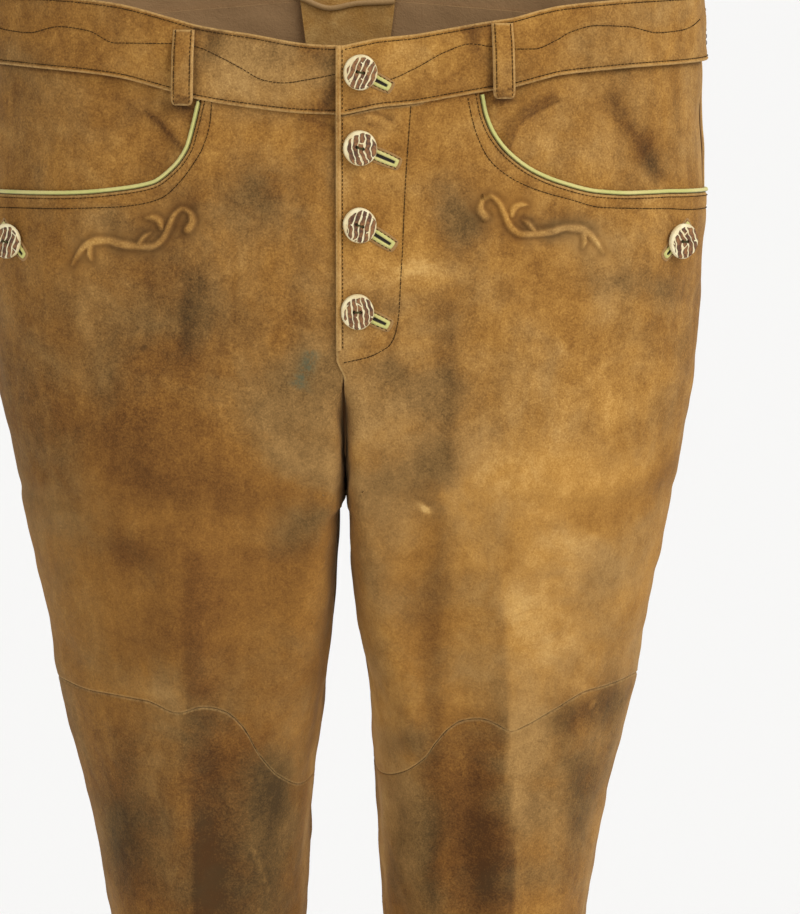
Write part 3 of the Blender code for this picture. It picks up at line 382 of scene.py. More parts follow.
# the direction out of the body, taken over a few millimetres
def outward(side, around, height):
    around, height = (np.array(v, float).ravel() for v in np.broadcast_arrays(around, height))
    step = wayOut["reach"] / quarter
    before = np.where(around >= 0, np.maximum(around - step, 0.0), around - step)
    after = np.minimum(around + step, 2.0)
    along = bareSkin(side, after, height) - bareSkin(side, before, height)
    nearCrotch = np.exp(-((height - bodyForm["crotch"]) / wayOut["crotchReach"]) ** 2)
    rise = wayOut["reach"] * (1 - wayOut["lessAtCrotch"] * nearCrotch)
    upward = bareSkin(side, around, height + rise) - bareSkin(side, around, height - rise)
    normal = np.cross(along, upward) * (1 if side == "left" else -1)
    return normal / np.linalg.norm(normal, axis=1)[:, None]


# signed distance in metres to a line of (around, height), and the share of its length run
def nearLine(line, around, height):
    spots = np.array(line, float) * (quarter, 1.0)
    x, z = np.asarray(around, float) * quarter, np.asarray(height, float)
    best, signed, run = np.full(x.shape, 9.0), np.zeros(x.shape), np.zeros(x.shape)
    lengths = np.linalg.norm(np.diff(spots, axis=0), axis=1)
    passed = 0.0
    for k, length in enumerate(lengths):
        dx, dz = (spots[k + 1] - spots[k]) / length
        t = (x - spots[k, 0]) * dx + (z - spots[k, 1]) * dz
        across = -(x - spots[k, 0]) * dz + (z - spots[k, 1]) * dx
        held = np.clip(t, 0 if k else -length, length if k < len(lengths) - 1 else 2 * length)
        far = np.hypot(across, t - held)
        closer = far < best
        best = np.where(closer, far, best)
        signed = np.where(closer, np.where(across < 0, -far, far), signed)
        run = np.where(closer, passed + held, run)
        passed += length
    return signed, run / passed


# how far folds or creases lift the leather
def foldRise(rows, around, height):
    total = np.zeros(np.shape(around))
    for width, rise, line, *shape in rows:
        off, run = nearLine([(a, z / 1000) for a, z in line], around, height)
        start, full, fading, stop = foldEnds["bent" if len(line) > 2 else "straight"]
        fade = smooth(start, full, run) * (1 - smooth(fading, stop, run))
        if "sharp" in shape:
            form = np.exp(-np.abs(off) / width)
        elif "step" in shape:       # a hollow on the inner side and a bulge on the outer
            form = 1.6 * off / width * np.exp(-(off / width) ** 2 * 0.6)
        else:
            form = np.exp(-(off / width) ** 2)
        total = total + rise * fade * form
    return total


def makeSwell():
    chance = np.random.default_rng(swell["seed"])
    size = swell["longest"] * (swell["shortest"] / swell["longest"]) ** chance.random(swell["waves"])
    turn, start = chance.random(swell["waves"]) * math.tau, chance.random(swell["waves"]) * math.tau
    return np.stack([np.cos(turn) * math.tau / size, np.sin(turn) * math.tau / size, start,
                     (size / swell["longest"]) ** 0.7], axis=1)


swellWaves = makeSwell()


# the leather's gentle unevenness; the same for every layer at one place
def swellRise(side, around, height):
    x = np.asarray(around, float) * quarter * (1 if side == "left" else -1)
    total = np.zeros(x.shape)
    for waveX, waveZ, start, size in swellWaves:
        total = total + size * np.sin(waveX * x + waveZ * np.asarray(height) + start)
    return total * swell["rise"]


# points of the leather: the body, its folds, creases and unevenness, and a lift above it
def skin(side, around, height, lift=0.0, extra=(), fine=True):
    around, height, lift = (np.array(v, float).ravel() for v in np.broadcast_arrays(around, height, lift))
    amount = lift + foldRise(folds[side] + extra, around, height)
    if fine:
        amount = amount + foldRise(creases[side], around, height) + swellRise(side, around, height)
    return bareSkin(side, around, height) + outward(side, around, height) * amount[:, None]


# the height of the band's lower edge; below 0 a piece laps over the other side
def bandSeam(side, around):
    around = np.asarray(around, float)
    other = "right" if side == "left" else "left"
    beyond = curveThrough(seams["band_" + other], -around)
    return np.where(around < 0, beyond, curveThrough(seams["band_" + side], around))


def crossSeam(side, around):
    return curveThrough(seams["cross_" + side], around)


def notchEdge(height):
    share = np.clip((np.asarray(height) - band["notchBottom"]) / band["notchRound"], 0.0, 1.0)
    return 2.0 - band["notchHalf"] * np.sqrt(share) / quarter


def frontEdge(side, height):
    if side == "left":
        return -(fly["overlap"] / quarter) * smooth(fly["closed"], fly["bottom"], height)
    return (fly["underEdge"] / quarter) * smooth(fly["underClosed"], fly["underBottom"], height)


# the right front runs one layer deeper where the left one laps over it
def underLap(side, around, height):
    if side == "left":
        return np.zeros(np.shape(around))
    out = smooth(fly["sunkFrom"], fly["sunkTo"], np.asarray(around) * quarter)
    return -layer * (1 - out) * smooth(fly["sunkClosed"], fly["sunkBottom"], height)


print("body surface tabled")

# ---- patina and painted light: greasy dark places, rubbed bright ones, one teal smudge, painted shadows and painted highlights
# tone is lighter above 0 and darker below; olive leans the colour from orange to olive
wearAndPaintedShade = {
    "warps": ((0.0026, 47, 53, 19), (0.0014, 143, 133, 41), (0.0008, 271, 259, 80)),
    "streakEnds": (-0.03, 0.08, 0.92, 1.03), "innerLegHeights": (-0.285, -0.315),
    # sideTone darkens each side, the wearer's right more: partly its tone, partly painted shade on the side
    # away from the key light
    "sideTone": {"left": -0.05, "right": -0.17}, "legs": -0.07, "strength": 1.55,
    # innerLeg paints light on the legs' inner sides; underBand, besideLoop and underLoop paint shadows
    # under the band and beside and under the belt loops; underCross darkens just below the cross seam
    "innerLeg": (0.20, 0.01, 0.16), "underBand": (-0.32, 0.0011), "underCross": (-0.26, 0.0009),
    "besideLoop": (-0.26, 0.0030), "underLoop": (-0.34, 0.0022),
    "smudge": ("right", 0.0042, ((0.066, -0.200), (0.074, -0.206), (0.084, -0.213), (0.108, -0.223))),
}
patches = {     # around; height and half sizes across and down in millimetres; tone, olive. Most are patina; the dark ones beside and under the belt loops and beside the fly are painted shadows
    "left": (
        (0.045, -78, 12, 8, 0.14, 0), (0.07, -98, 20, 7, 0.1, 0), (0.05, -147, 14, 12, 0.08, 0),
        (0.15, -125, 12, 12, 0.04, 0), (0.085, -178, 10, 8, -0.08, 0.2), (0.1, -215, 20, 10, -0.1, 0.4),
        (0.25, -125, 13, 20, -0.19, 0.5), (0.165, -155, 17, 8, 0.17, 0),
        (0.154, -229, 30, 14, -0.06, 0.5), (0.314, -276, 28, 22, -0.1, 0.6),
        (0.342, -306, 16, 22, -0.04, 0.5), (0.413, -294.5, 2.6, 2.2, 0.5, 0.1),
        (0.25, -345, 12, 30, 0.03, 0.1), (0.32, -370, 16, 20, 0.09, -0.2),
        (0.18, -420, 26, 50, 0.14, 0.1), (0.2, -445, 18, 8, -0.1, 0.4), (0.543, -272, 36, 14, 0.07, -0.1),
        (0.696, -278, 26, 12, 0.06, -0.1), (0.649, -319, 16, 10, 0.09, 0), (0.597, -380, 20, 28, 0.07, 0),
        (0.56, -350, 18, 16, 0.07, 0), (0.642, -380, 9, 7, 0.09, 0), (0.713, -303, 16, 10, -0.07, -0.2),
        (0.6, -230, 40, 14, 0.06, 0), (0.864, -290, 18, 14, -0.12, 0), (0.78, -245, 24, 16, -0.05, 0.1),
        (0.68, -355, 10, 14, -0.05, 0), (0.73, -345, 16, 20, 0, 0.4), (0.8, -420, 26, 12, -0.17, 0.1),
        (0.7, -426, 20, 9, -0.12, 0), (0.73, -462, 18, 16, -0.12, 0.3), (0.66, -440, 12, 12, -0.06, 0.2),
        (0.6, -478, 18, 16, 0.05, 0.3), (0.63, -525, 20, 10, -0.08, 0.5), (0.3, -500, 18, 30, -0.03, 0.4),
        (0.15, -500, 20, 30, 0.1, 0.3), (0.27, -460, 14, 10, 0.05, 0.3), (0.2, -533, 14, 12, -0.14, 0.4),
        (0.33, -160, 18, 12, -0.04, 0.3), (0.64, -165, 26, 8, -0.12, 0.25),
        (0.735, -172, 10, 8, -0.09, 0.2), (0.5, -182, 20, 14, 0.02, 0), (0.64, -192, 22, 10, -0.07, 0.1),
        # the dark patch at 0.292 is a painted shadow beside the belt loop
        (0.292, -20, 4.5, 20, -0.18, 0.1), (0.08, -20, 20, 8, 0.02, -0.3), (0.705, -92, 9, 16, -0.1, 0),
        (0.45, -80, 20, 10, 0.03, 0), (0.5, -122, 40, 7, -0.05, 0), (0.93, -200, 30, 60, -0.08, 0),
        (0.22, -70, 20, 12, 0.06, -0.1), (0.6, -280, 60, 40, 0.05, 0), (0.6, -350, 40, 40, 0.04, 0),
        # the dark patches at 0.312 and 0.352 are painted shadows beside and under the belt loop
        (0.312, -26, 4, 16, -0.2, 0.1), (0.352, -56, 7, 3, -0.22, 0), (0.17, -33, 60, 12, 0.07, 0),
        (0.29, -500, 20, 40, -0.07, 0.4), (0.45, -500, 20, 50, -0.1, -0.2),
        (0.24, -360, 22, 50, -0.07, 0.4), (0.7, -470, 40, 40, -0.05, 0.3),
        (0.56, -460, 12, 40, 0.06, 0.6), (0.25, -128, 12, 16, -0.05, 0.4), (0.66, -90, 22, 20, -0.05, 0),
        (0.78, -490, 20, 34, -0.14, 0.1), (0.29, -440, 14, 7, -0.1, 0.3), (0.43, -535, 30, 20, -0.1, 0.2),
        (0.33, -440, 8, 20, -0.1, 0.2), (0.44, -490, 18, 45, -0.13, -0.1),
        (0.64, -425, 14, 10, -0.1, 0.1), (0.43, -128, 20, 8, -0.09, 0.35),
        (0.52, -133, 16, 6, -0.08, 0.3), (1.4, -300, 35, 40, -0.15, 0.2), (1.7, -560, 35, 30, -0.13, 0.3),
        (1.3, -900, 40, 40, -0.13, 0.2), (0.5, -930, 40, 40, -0.13, 0.2),
        (1.55, -200, 40, 40, 0.12, -0.2), (0.6, -600, 22, 30, 0.08, 0), (1.5, -420, 30, 50, 0.08, 0),
        (0.3, -700, 40, 50, -0.1, 0.3), (0.3, -340, 14, 20, -0.07, 0.5), (0.33, -365, 10, 14, -0.05, 0.3),
    ),
    "right": (
        # the dark patches at 0.312 and 0.352 are painted shadows beside and under the belt loop; the one at
        # 0.022 is a painted shadow beside the fly's edge
        (0.312, -26, 4, 16, -0.2, 0), (0.352, -60, 7, 4, -0.24, 0), (0.022, -53, 5, 9, -0.26, 0),
        (0.06, -24, 12, 4, -0.08, -0.2), (0.56, -250, 60, 20, -0.07, -0.2),
        (0.52, -375, 60, 35, -0.06, -0.1), (0.66, -490, 30, 50, -0.11, 0),
        (0.27, -510, 30, 40, -0.06, 0.3), (0.17, -33, 60, 12, 0.07, -0.1),
        (0.31, -490, 18, 50, -0.08, 0.5), (0.3, -470, 16, 20, -0.12, 0.6), (0.37, -440, 12, 20, -0.08, 0),
        (0.25, -500, 12, 14, 0.1, 0.5), (0.6, -450, 22, 50, 0.05, 0.2), (0.48, -128, 24, 8, -0.08, 0.2),
        (0.345, -165, 10, 40, -0.17, 0), (0.34, -115, 6, 14, -0.1, 0), (0.44, -160, 16, 30, -0.08, 0),
        (0.2, -110, 18, 14, -0.13, 0.35), (0.1, -175, 26, 16, -0.04, 0.3),
        (0.265, -150, 16, 18, 0.05, 0.1), (0.08, -215, 22, 14, -0.06, 0.5), (0.17, -235, 20, 10, 0, 0.5),
        (0.23, -262, 24, 14, 0.02, 0.7), (0.253, -280, 20, 12, 0.03, 0.6),
        (0.345, -311, 20, 12, -0.08, 0.5), (0.307, -302, 14, 8, -0.06, 0.4),
        (0.379, -324, 18, 7, -0.1, 0.1), (0.481, -283, 34, 18, -0.13, -0.5),
        (0.35, -230, 20, 12, 0.05, 0.1), (0.638, -322, 18, 14, -0.16, 0),
        (0.44, -345, 34, 20, -0.06, -0.3), (0.59, -280, 18, 20, -0.07, -0.2),
        (0.565, -400, 10, 40, 0.04, 0), (0.54, -410, 34, 6, 0.06, 0), (0.44, -455, 18, 24, -0.1, 0),
        (0.43, -530, 30, 30, -0.15, 0.3), (0.345, -462, 12, 16, -0.1, 0.4),
        (0.27, -500, 16, 16, 0.04, 0.5), (0.6, -490, 16, 10, -0.06, 0.3), (0.68, -450, 14, 18, -0.08, 0),
        (0.71, -510, 26, 30, -0.18, 0.2), (0.57, -510, 8, 30, 0.06, 0.1), (0.23, -435, 14, 14, 0.09, 0),
        (0.17, -78, 40, 10, 0.05, -0.3), (0.44, -203.5, 1.8, 1.8, -0.25, 0.2),
        # the dark patch at 0.29 is a painted shadow beside the belt loop
        (0.04, -31, 22, 6, -0.17, 0), (0.29, -22, 4.5, 18, -0.16, 0), (0.405, -90, 11, 9, -0.12, 0),
        (0.15, -53, 50, 6, 0.08, 0), (0.06, -500, 20, 50, 0.1, 0), (0.9, -250, 30, 70, -0.08, 0),
        (0.88, -400, 30, 50, -0.06, 0.1), (1.45, -280, 35, 40, -0.15, 0.2),
        (1.6, -580, 35, 30, -0.13, 0.3), (1.35, -880, 40, 40, -0.13, 0.2),
        (0.45, -950, 40, 40, -0.13, 0.2), (1.5, -210, 40, 40, 0.12, -0.2), (0.52, -620, 24, 30, 0.08, 0),
        (1.48, -430, 30, 50, 0.08, 0), (0.35, -720, 40, 50, -0.1, 0.3),
        (0.565, -375, 24, 30, -0.07, -0.1), (0.25, -180, 22, 14, -0.05, 0.2),
        (0.33, -185, 12, 20, -0.05, 0.1), (0.44, -490, 12, 26, -0.06, 0.1), (0.1, -35, 50, 20, 0.05, 0.4),
        # the dark patch at 0.028 is painted shade on the band beside the fly
        (0.3, -35, 30, 20, 0.06, 0.5), (0.028, -45, 7, 14, -0.1, 0.2), (0.02, -90, 5, 20, -0.06, 0.2),
        (0.22, -30, 16, 6, -0.05, 0.3), (0.14, -26, 14, 5, -0.06, 0.4),
    ),
}
paintedShadingStreaks = {     # painted shade and painted highlights along creases, folds and the fly edge, some with an olive lean, and painted light on the inner legs: reach inwards and outwards, tone, olive, line with heights in millimetres
    "left": (
        ((0.01, 0.005), -0.14, 0.1, (
            (0.23, -150), (0.229, -215), (0.304, -248), (0.352, -265), (0.417, -283), (0.437, -302),
            (0.423, -335), (0.41, -363), (0.389, -412), (0.372, -450), (0.365, -500), (0.365, -560))),
        ((0.03, 0.0018), -0.18, 0, (
            (0.526, -412), (0.526, -448), (0.546, -486), (0.557, -524), (0.562, -580))),
        ((0.02, 0.0024), -0.09, 0.2, ((0.518, -330), (0.528, -370), (0.526, -414))),
        ((0.0014, 0.005), -0.3, 0, (
            (0.355, -88), (0.369, -78.9), (0.379, -71.1), (0.4, -66.3), (0.434, -61.6), (0.484, -56))),
        ((0.0032, 0.0014), 0.13, 0, (
            (0.35, -85), (0.363, -77.5), (0.374, -69.5), (0.396, -64.5), (0.432, -59.8), (0.484, -54.2))),
        ((0.0065, 0.0055), -0.17, 0, (
            (0.59, -50), (0.628, -66.3), (0.666, -77.4), (0.696, -90), (0.734, -105.8))),
        ((0.0012, 0.0012), -0.12, 0, ((0.048, -61.6), (0.079, -63.2), (0.11, -67.9))),
        ((0.0016, 0.0016), 0.09, 0, ((0.05, -64.5), (0.08, -66.2), (0.108, -70.5))),
        ((0.0012, 0.0012), -0.1, 0, ((0.052, -69.5), (0.072, -70), (0.092, -72))),
        ((0.0009, 0.0009), 0.1, 0, ((0.127, -221.1), (0.151, -227.4), (0.171, -233.7))),
        ((0.001, 0.001), 0.22, 0, ((0.72, -418), (0.78, -436))),
        ((0.012, 0.014), 0.2, 0.1, ((0, -290), (0.06, -330), (0.1, -400), (0.1, -560))),
    ),
    "right": (
        ((0.0014, 0.0014), -0.11, 0.1, ((0.1, -66), (0.055, -67.9), (0.014, -72.5))),
        ((0.013, 0.003), -0.1, 0, ((0.521, -318), (0.521, -372.6), (0.516, -410.5))),
        ((0.017, 0.002), -0.15, 0, (
            (0.516, -400), (0.52, -446.8), (0.512, -484.7), (0.508, -522.6), (0.506, -580))),
        ((0.0013, 0.0013), -0.2, 0, ((0.441, -61.6), (0.403, -69.5), (0.376, -77.4), (0.345, -86))),
        ((0.003, 0.003), -0.07, 0, ((0.441, -61.6), (0.403, -69.5), (0.376, -77.4), (0.35, -84))),
        ((0.003, 0.003), -0.08, 0, ((0.51, -52), (0.47, -60), (0.44, -66))),
        ((0.0016, 0.0016), -0.18, 0, ((0.01, -66), (0.01, -120), (0.01, -204))),
        ((0.001, 0.001), 0.15, 0.2, ((0.379, -500.5), (0.355, -514.7), (0.315, -535))),
        ((0.01, 0.011), 0.18, 0.1, ((0, -290), (0.06, -330), (0.08, -400), (0.1, -560))),
    ),
}


def besideLine(line, around, height, inwards, outwards):
    off, run = nearLine(line, around, height)
    start, full, fading, stop = wearAndPaintedShade["streakEnds"]
    share = np.exp(-(off / np.where(off < 0, inwards, outwards)) ** 2) * smooth(start, full, run)
    return share * (1 - smooth(fading, stop, run))


def smudgeAt(side, around, height):
    smudgeSide, reach, line = wearAndPaintedShade["smudge"]
    return besideLine(line, around, height, reach, reach) * (side == smudgeSide)


# tone and olive lean at places on the leather: patina, painted shade and painted highlights along creases
# and edges, painted light on the inner legs and a partly painted darker side, with outlines broken up by
# gentle warps
def toneAt(side, around, height):
    tone = wearAndPaintedShade["sideTone"][side] + wearAndPaintedShade["legs"] * smooth(0.0005, 0.0, height - crossSeam(side, around))
    olive = np.zeros(np.shape(around))
    for (inwards, outwards), paintedShadingTone, streakOlive, line in paintedShadingStreaks[side]:
        share = besideLine([(a, z / 1000) for a, z in line], around, height, inwards, outwards)
        tone, olive = tone + wearAndPaintedShade["strength"] * paintedShadingTone * share, olive + streakOlive * share
    for reach, first, second, third in wearAndPaintedShade["warps"]:
        x, z = around * quarter, height
        waveX = np.sin(first * z + third * x + 1.3) + 0.6 * np.sin(1.7 * first * z - 0.8 * first * x)
        waveZ = np.sin(second * x - third * z + 0.4) + 0.6 * np.sin(1.6 * second * x + 0.9 * second * z)
        around, height = around + reach * waveX / quarter, height + reach * waveZ
    for a, z, across, down, patchTone, patchOlive in patches[side]:
        z, across, down = z / 1000, across / 1000, down / 1000
        share = np.exp(-(((around - a) * quarter / across) ** 2 + ((height - z) / down) ** 2))
        tone, olive = tone + wearAndPaintedShade["strength"] * patchTone * share, olive + patchOlive * share
    return tone, olive


# painted shadows along the edges of overlapping pieces, under the band and beside and under the belt loops,
# darker just below the cross seam, and painted light on the inner sides of the legs
def paintedShadowsAndLegLight(side, around, height):
    tone, start, stop = wearAndPaintedShade["innerLeg"]
    shade = tone * (1 - smooth(start, stop, around)) * smooth(*wearAndPaintedShade["innerLegHeights"], height)
    tone, reach = wearAndPaintedShade["underBand"]
    below = bandSeam(side, around) - height
    shade = shade + tone * np.exp(-(below / reach) ** 2) * (below > 0)
    tone, reach = wearAndPaintedShade["underCross"]
    below = crossSeam(side, around) - height
    shade = shade + tone * np.exp(-(below / reach) ** 2) * (below > 0)
    for loopSide, place in beltLoops["places"]:
        if loopSide == side and place < 1:
            off = (place - around) * quarter - beltLoops["width"] / 2
            tone, reach = wearAndPaintedShade["besideLoop"]
            above = height - bandSeam(side, around) + beltLoops["overhang"]
            shade = shade + tone * np.exp(-(off / reach) ** 2) * (off > 0) * smooth(0.0, 0.004, above)
            tone, reach = wearAndPaintedShade["underLoop"]
            within = np.exp(-((off + beltLoops["width"] / 2) / (beltLoops["width"] * 0.5)) ** 4)
            shade = shade + tone * within * np.exp(-(above / reach) ** 2) * (above < 0)
    return shade


# ---- meshes from grids of points
sharpAngle = math.radians(52)


# a closed mesh turned outwards, with its marks as attributes and its flat cut as a UV map
def setMesh(name, points, faces, marks=None, cut=None):
    corners = np.array(faces, int)
    a, b, c, d = (points[corners[:, k]] for k in range(4))
    volume = (np.einsum("ij,ij->i", a, np.cross(b, c)) + np.einsum("ij,ij->i", a, np.cross(c, d))).sum()
    if volume < 0:
        corners = corners[:, ::-1]
    mesh = bpy.data.meshes.new(name)
    mesh.vertices.add(len(points))
    mesh.vertices.foreach_set("co", points.astype(np.float32).ravel())
    mesh.loops.add(corners.size)
    mesh.loops.foreach_set("vertex_index", corners.astype(np.int32).ravel())
    mesh.polygons.add(len(corners))
    mesh.polygons.foreach_set("loop_start", np.arange(0, corners.size, 4, dtype=np.int32))
    mesh.update(calc_edges=True)
    mesh.validate()
    for mark, values in (marks or {}).items():
        attribute = mesh.attributes.new(mark, "FLOAT", "POINT")
        attribute.data.foreach_set("value", np.asarray(values, np.float32).ravel())
    if cut is not None:
        layerUv = mesh.uv_layers.new(name="cut")
        vertex = np.empty(len(mesh.loops), np.int32)
        mesh.loops.foreach_get("vertex_index", vertex)
        layerUv.data.foreach_set("uv", cut[vertex].astype(np.float32).ravel())
    mesh.shade_smooth()
    mesh.set_sharp_from_angle(angle=sharpAngle)
    made = bpy.data.objects.new(name, mesh)
    bpy.context.scene.collection.objects.link(made)
    return made


# quads of a sheet with two faces and a rim; the outer grid comes first
def shellFaces(rows, columns):
    index = np.arange(rows * columns).reshape(rows, columns)
    inner = index + rows * columns
    top = np.stack([index[:-1, :-1], index[:-1, 1:], index[1:, 1:], index[1:, :-1]], axis=-1).reshape(-1, 4)
    low = np.stack([inner[:-1, :-1], inner[1:, :-1], inner[1:, 1:], inner[:-1, 1:]], axis=-1).reshape(-1, 4)
    rim = np.concatenate([index[0, :-1], index[:-1, -1], index[-1, :0:-1], index[:0:-1, 0]])
    nextOne = np.roll(rim, -1)
    side = np.stack([rim, rim + rows * columns, nextOne + rows * columns, nextOne], axis=-1)
    return np.concatenate([top, low, side])


# how far each point of a grid lies from the grid's nearest edge, along its rows and columns
def edgeDistance(x, z):
    across = np.hypot(np.diff(x, axis=1), np.diff(z, axis=1))
    down = np.hypot(np.diff(x, axis=0), np.diff(z, axis=0))
    left = np.concatenate([np.zeros((x.shape[0], 1)), np.cumsum(across, axis=1)], axis=1)
    top = np.concatenate([np.zeros((1, x.shape[1])), np.cumsum(down, axis=0)], axis=0)
    return np.minimum.reduce([left, left[:, -1:] - left, top, top[-1:, :] - top])


cloth = {"roll": 0.0006, "rollReach": 0.0015, "grooveDepth": 0.00040, "grooveWidth": 0.0011,
         "grooveEnds": (-0.01, 0.02), "rowInset": 0.0024, "grainAbove": 0.50, "grainBelow": 0.30,
         "grainHeights": (-0.30, -0.22), "grainReach": 0.02, "crossWorn": 0.5, "crossReach": 0.004}


# a sheet of leather over grids of places, as a thin shell with rounded edges
def layCloth(name, side, around, height, lift, thick=wallThick, extra=(), fine=True,
             roll=cloth["roll"], grooves=(), relief=0.0, tooled=0.0):
    lift = np.broadcast_to(np.asarray(lift, float), around.shape)
    fromEdge = edgeDistance(around * quarter, height)
    sunk = roll * (1 - smooth(0.0, cloth["rollReach"], fromEdge)) ** 2
    for line in grooves:
        off, run = nearLine(line, around, height)
        depth = cloth["grooveDepth"] * np.exp(-(off / cloth["grooveWidth"]) ** 2)
        sunk = sunk + depth * smooth(*cloth["grooveEnds"], run)
    outer = skin(side, around, height, lift - sunk + relief, extra, fine)
    inner = skin(side, around, height, lift - thick, extra, fine)
    flat = np.stack([around.ravel() * quarter * (1 if side == "left" else -1), height.ravel()], axis=1)
    zero, places, heights = np.zeros(around.size), around.ravel(), height.ravel()
    fromCross = heights - crossSeam(side, places)
    low = cloth["grainBelow"] * smooth(0.0, -cloth["grainReach"], fromCross)
    grain = 1 + cloth["grainAbove"] * smooth(*cloth["grainHeights"], heights) + low
    bare = 1 - cloth["crossWorn"] * np.exp(-(fromCross / cloth["crossReach"]) ** 2)
    tone, olive = toneAt(side, places, heights)
    faces = {       # what each mark is on the outer face and on the inner one
        "fromEdge": (fromEdge.ravel(), zero), "inside": (zero, zero + 1),
        # raised carries the relief's height, which the suede finish paints lighter as a painted highlight
        "raised": (np.broadcast_to(np.asarray(relief, float), around.shape).ravel() * 1000, zero),
        "tooled": (np.broadcast_to(tooled, around.shape).ravel(), zero),
        "grain": (grain, grain), "bareEdge": (bare, bare),
        "tone": (tone + paintedShadowsAndLegLight(side, places, heights), tone), "olive": (olive, olive),
        "smudge": (smudgeAt(side, places, heights), zero),
    }
    marks = {mark: np.concatenate(pair) for mark, pair in faces.items()}
    made = setMesh(name, np.concatenate([outer, inner]), shellFaces(*around.shape), marks,
                   np.concatenate([flat, flat]))
    grid = outer.reshape(*around.shape, 3)
    a, b = grid[1:, 1:] - grid[:-1, :-1], grid[1:, :-1] - grid[:-1, 1:]
    return made


# places from low to high, as far apart as pitchAt says at each
def spacedPlaces(low, high, pitchAt):
    dense = np.linspace(low, high, 6001)
    cost = np.concatenate([[0.0], np.cumsum(np.diff(dense) / pitchAt((dense[1:] + dense[:-1]) / 2))])
    return np.interp(np.linspace(0, cost[-1], int(math.ceil(cost[-1])) + 1), cost, dense)


# a pitch for shares of a length in metres: fine at both ends and base between them
def endPitch(base, fine, reach):
    def at(length):
        def pitch(share):
            near = np.minimum(share, 1 - share) * length
            return (fine + (base - fine) * smooth(0.0, reach, near)) / length
        return pitch
    return at


# ---- the cut pieces
# how far apart a grid's lines lie, along the leather and finer near edges and relief
pitches = {
    "front": 0.0024, "relief": 0.0009, "back": 0.0036, "legFront": 0.0040, "legBack": 0.0048,
    "band": 0.0017, "facing": 0.0019, "loop": 0.0014, "edge": 0.0006, "bandEdge": 0.0004,
    "loopEdge": 0.0005, "edgeReach": 0.008, "fineReach": 0.010, "smallReach": 0.006, "scrollShare": 0.215,
    "mouthRuns": (-0.004, 0.0, 0.12, 0.3), "mouthFiner": 1.2,
    "flyRuns": (0.06, 0.09, 0.15, 0.17), "flyFiner": 0.5,
}
# about how long each piece is, for its grid
spans = {"front": 0.41, "back": 0.45, "leg": 0.58, "facing": 0.085, "stand": 0.14, "loop": 0.043}
pocketRows = {      # the second row of stitches round each pocket mouth
    "left": (
        (0.273, -0.0553), (0.284, -0.0695), (0.314, -0.0884), (0.359, -0.0995), (0.42, -0.1074),
        (0.499, -0.1137), (0.563, -0.1184), (0.649, -0.12), (0.748, -0.1216), (0.795, -0.123),
        (0.985, -0.126)),
    "right": (
        (0.287, -0.0568), (0.29, -0.0679), (0.304, -0.0821), (0.328, -0.0932), (0.355, -0.1026),
        (0.396, -0.1121), (0.444, -0.116), (0.502, -0.118), (0.6, -0.1195), (0.8, -0.122),
        (0.985, -0.126)),
}
waveRows = {
    "left": (
        (0.06, -0.0448), (0.093, -0.0442), (0.154, -0.0379), (0.222, -0.0284), (0.28, -0.0237),
        (0.325, -0.0253), (0.376, -0.0268), (0.42, -0.0268), (0.471, -0.0221), (0.505, -0.0174),
        (0.56, -0.014), (0.64, -0.015), (0.72, -0.019), (0.8, -0.018), (0.88, -0.013)),
    "right": (
        (0.02, -0.0411), (0.08, -0.044), (0.13, -0.0458), (0.174, -0.0442), (0.22, -0.038),
        (0.267, -0.0316), (0.325, -0.0253), (0.386, -0.0237), (0.441, -0.0237), (0.505, -0.0237),
        (0.57, -0.017), (0.64, -0.015), (0.72, -0.019), (0.8, -0.018), (0.88, -0.013)),
}
flyRow = (
    (0.147, -0.06), (0.134, -0.1042), (0.127, -0.1421), (0.123, -0.1595), (0.119, -0.178),
    (0.111, -0.19), (0.098, -0.197), (0.08, -0.2003), (0.052, -0.2037), (0.003, -0.2068))
scroll = {
    "start": {"left": (0.306, -0.1225), "right": (0.338, -0.1300)},
    "rise": 0.0015, "flank": 0.0013, "groove": 0.0004, "grooveWidth": 0.0011, "slimmer": 0.86,
    "fullWidth": 0.0045, "ground": 0.0042, "steps": 6,
    "strokes": (        # out, up and width in millimetres, from the start
        (
            (0, 0, 5), (-2.6, 4.4, 4.6), (-1.6, 9, 3.4), (3, 11.8, 2.8), (7.4, 8.5, 3.4),
            (10.4, 2, 3.8), (14, -6, 4.2), (21, -10.6, 4.2), (29, -10.4, 4.4), (37, -9.4, 5.2),
            (45, -7.4, 4.6), (52, -8, 5.4), (58, -11, 4.6), (62.5, -16.5, 3.2), (66, -22.5, 1.4)),
        ((14.5, 0.5, 3), (15.8, 4.6, 4.4), (19.5, 6.6, 3.6), (23.5, 6.4, 1.2)),
        ((27, -8.5, 3.2), (24, -4.5, 3), (21, -2.5, 1.2)),
        ((55, -11, 3.4), (55.6, -15.5, 3.2), (54.6, -19, 1.8)),
    ),
}


# points along one stroke as (around, height), and its width at each
def scrollStroke(side, rows, steps):
    startAround, startHeight = scroll["start"][side]
    out, up, width = (curveThrough(list(enumerate(column)), steps) * 0.001 for column in zip(*rows))
    return np.stack([startAround + out / quarter, startHeight + up], axis=1), width


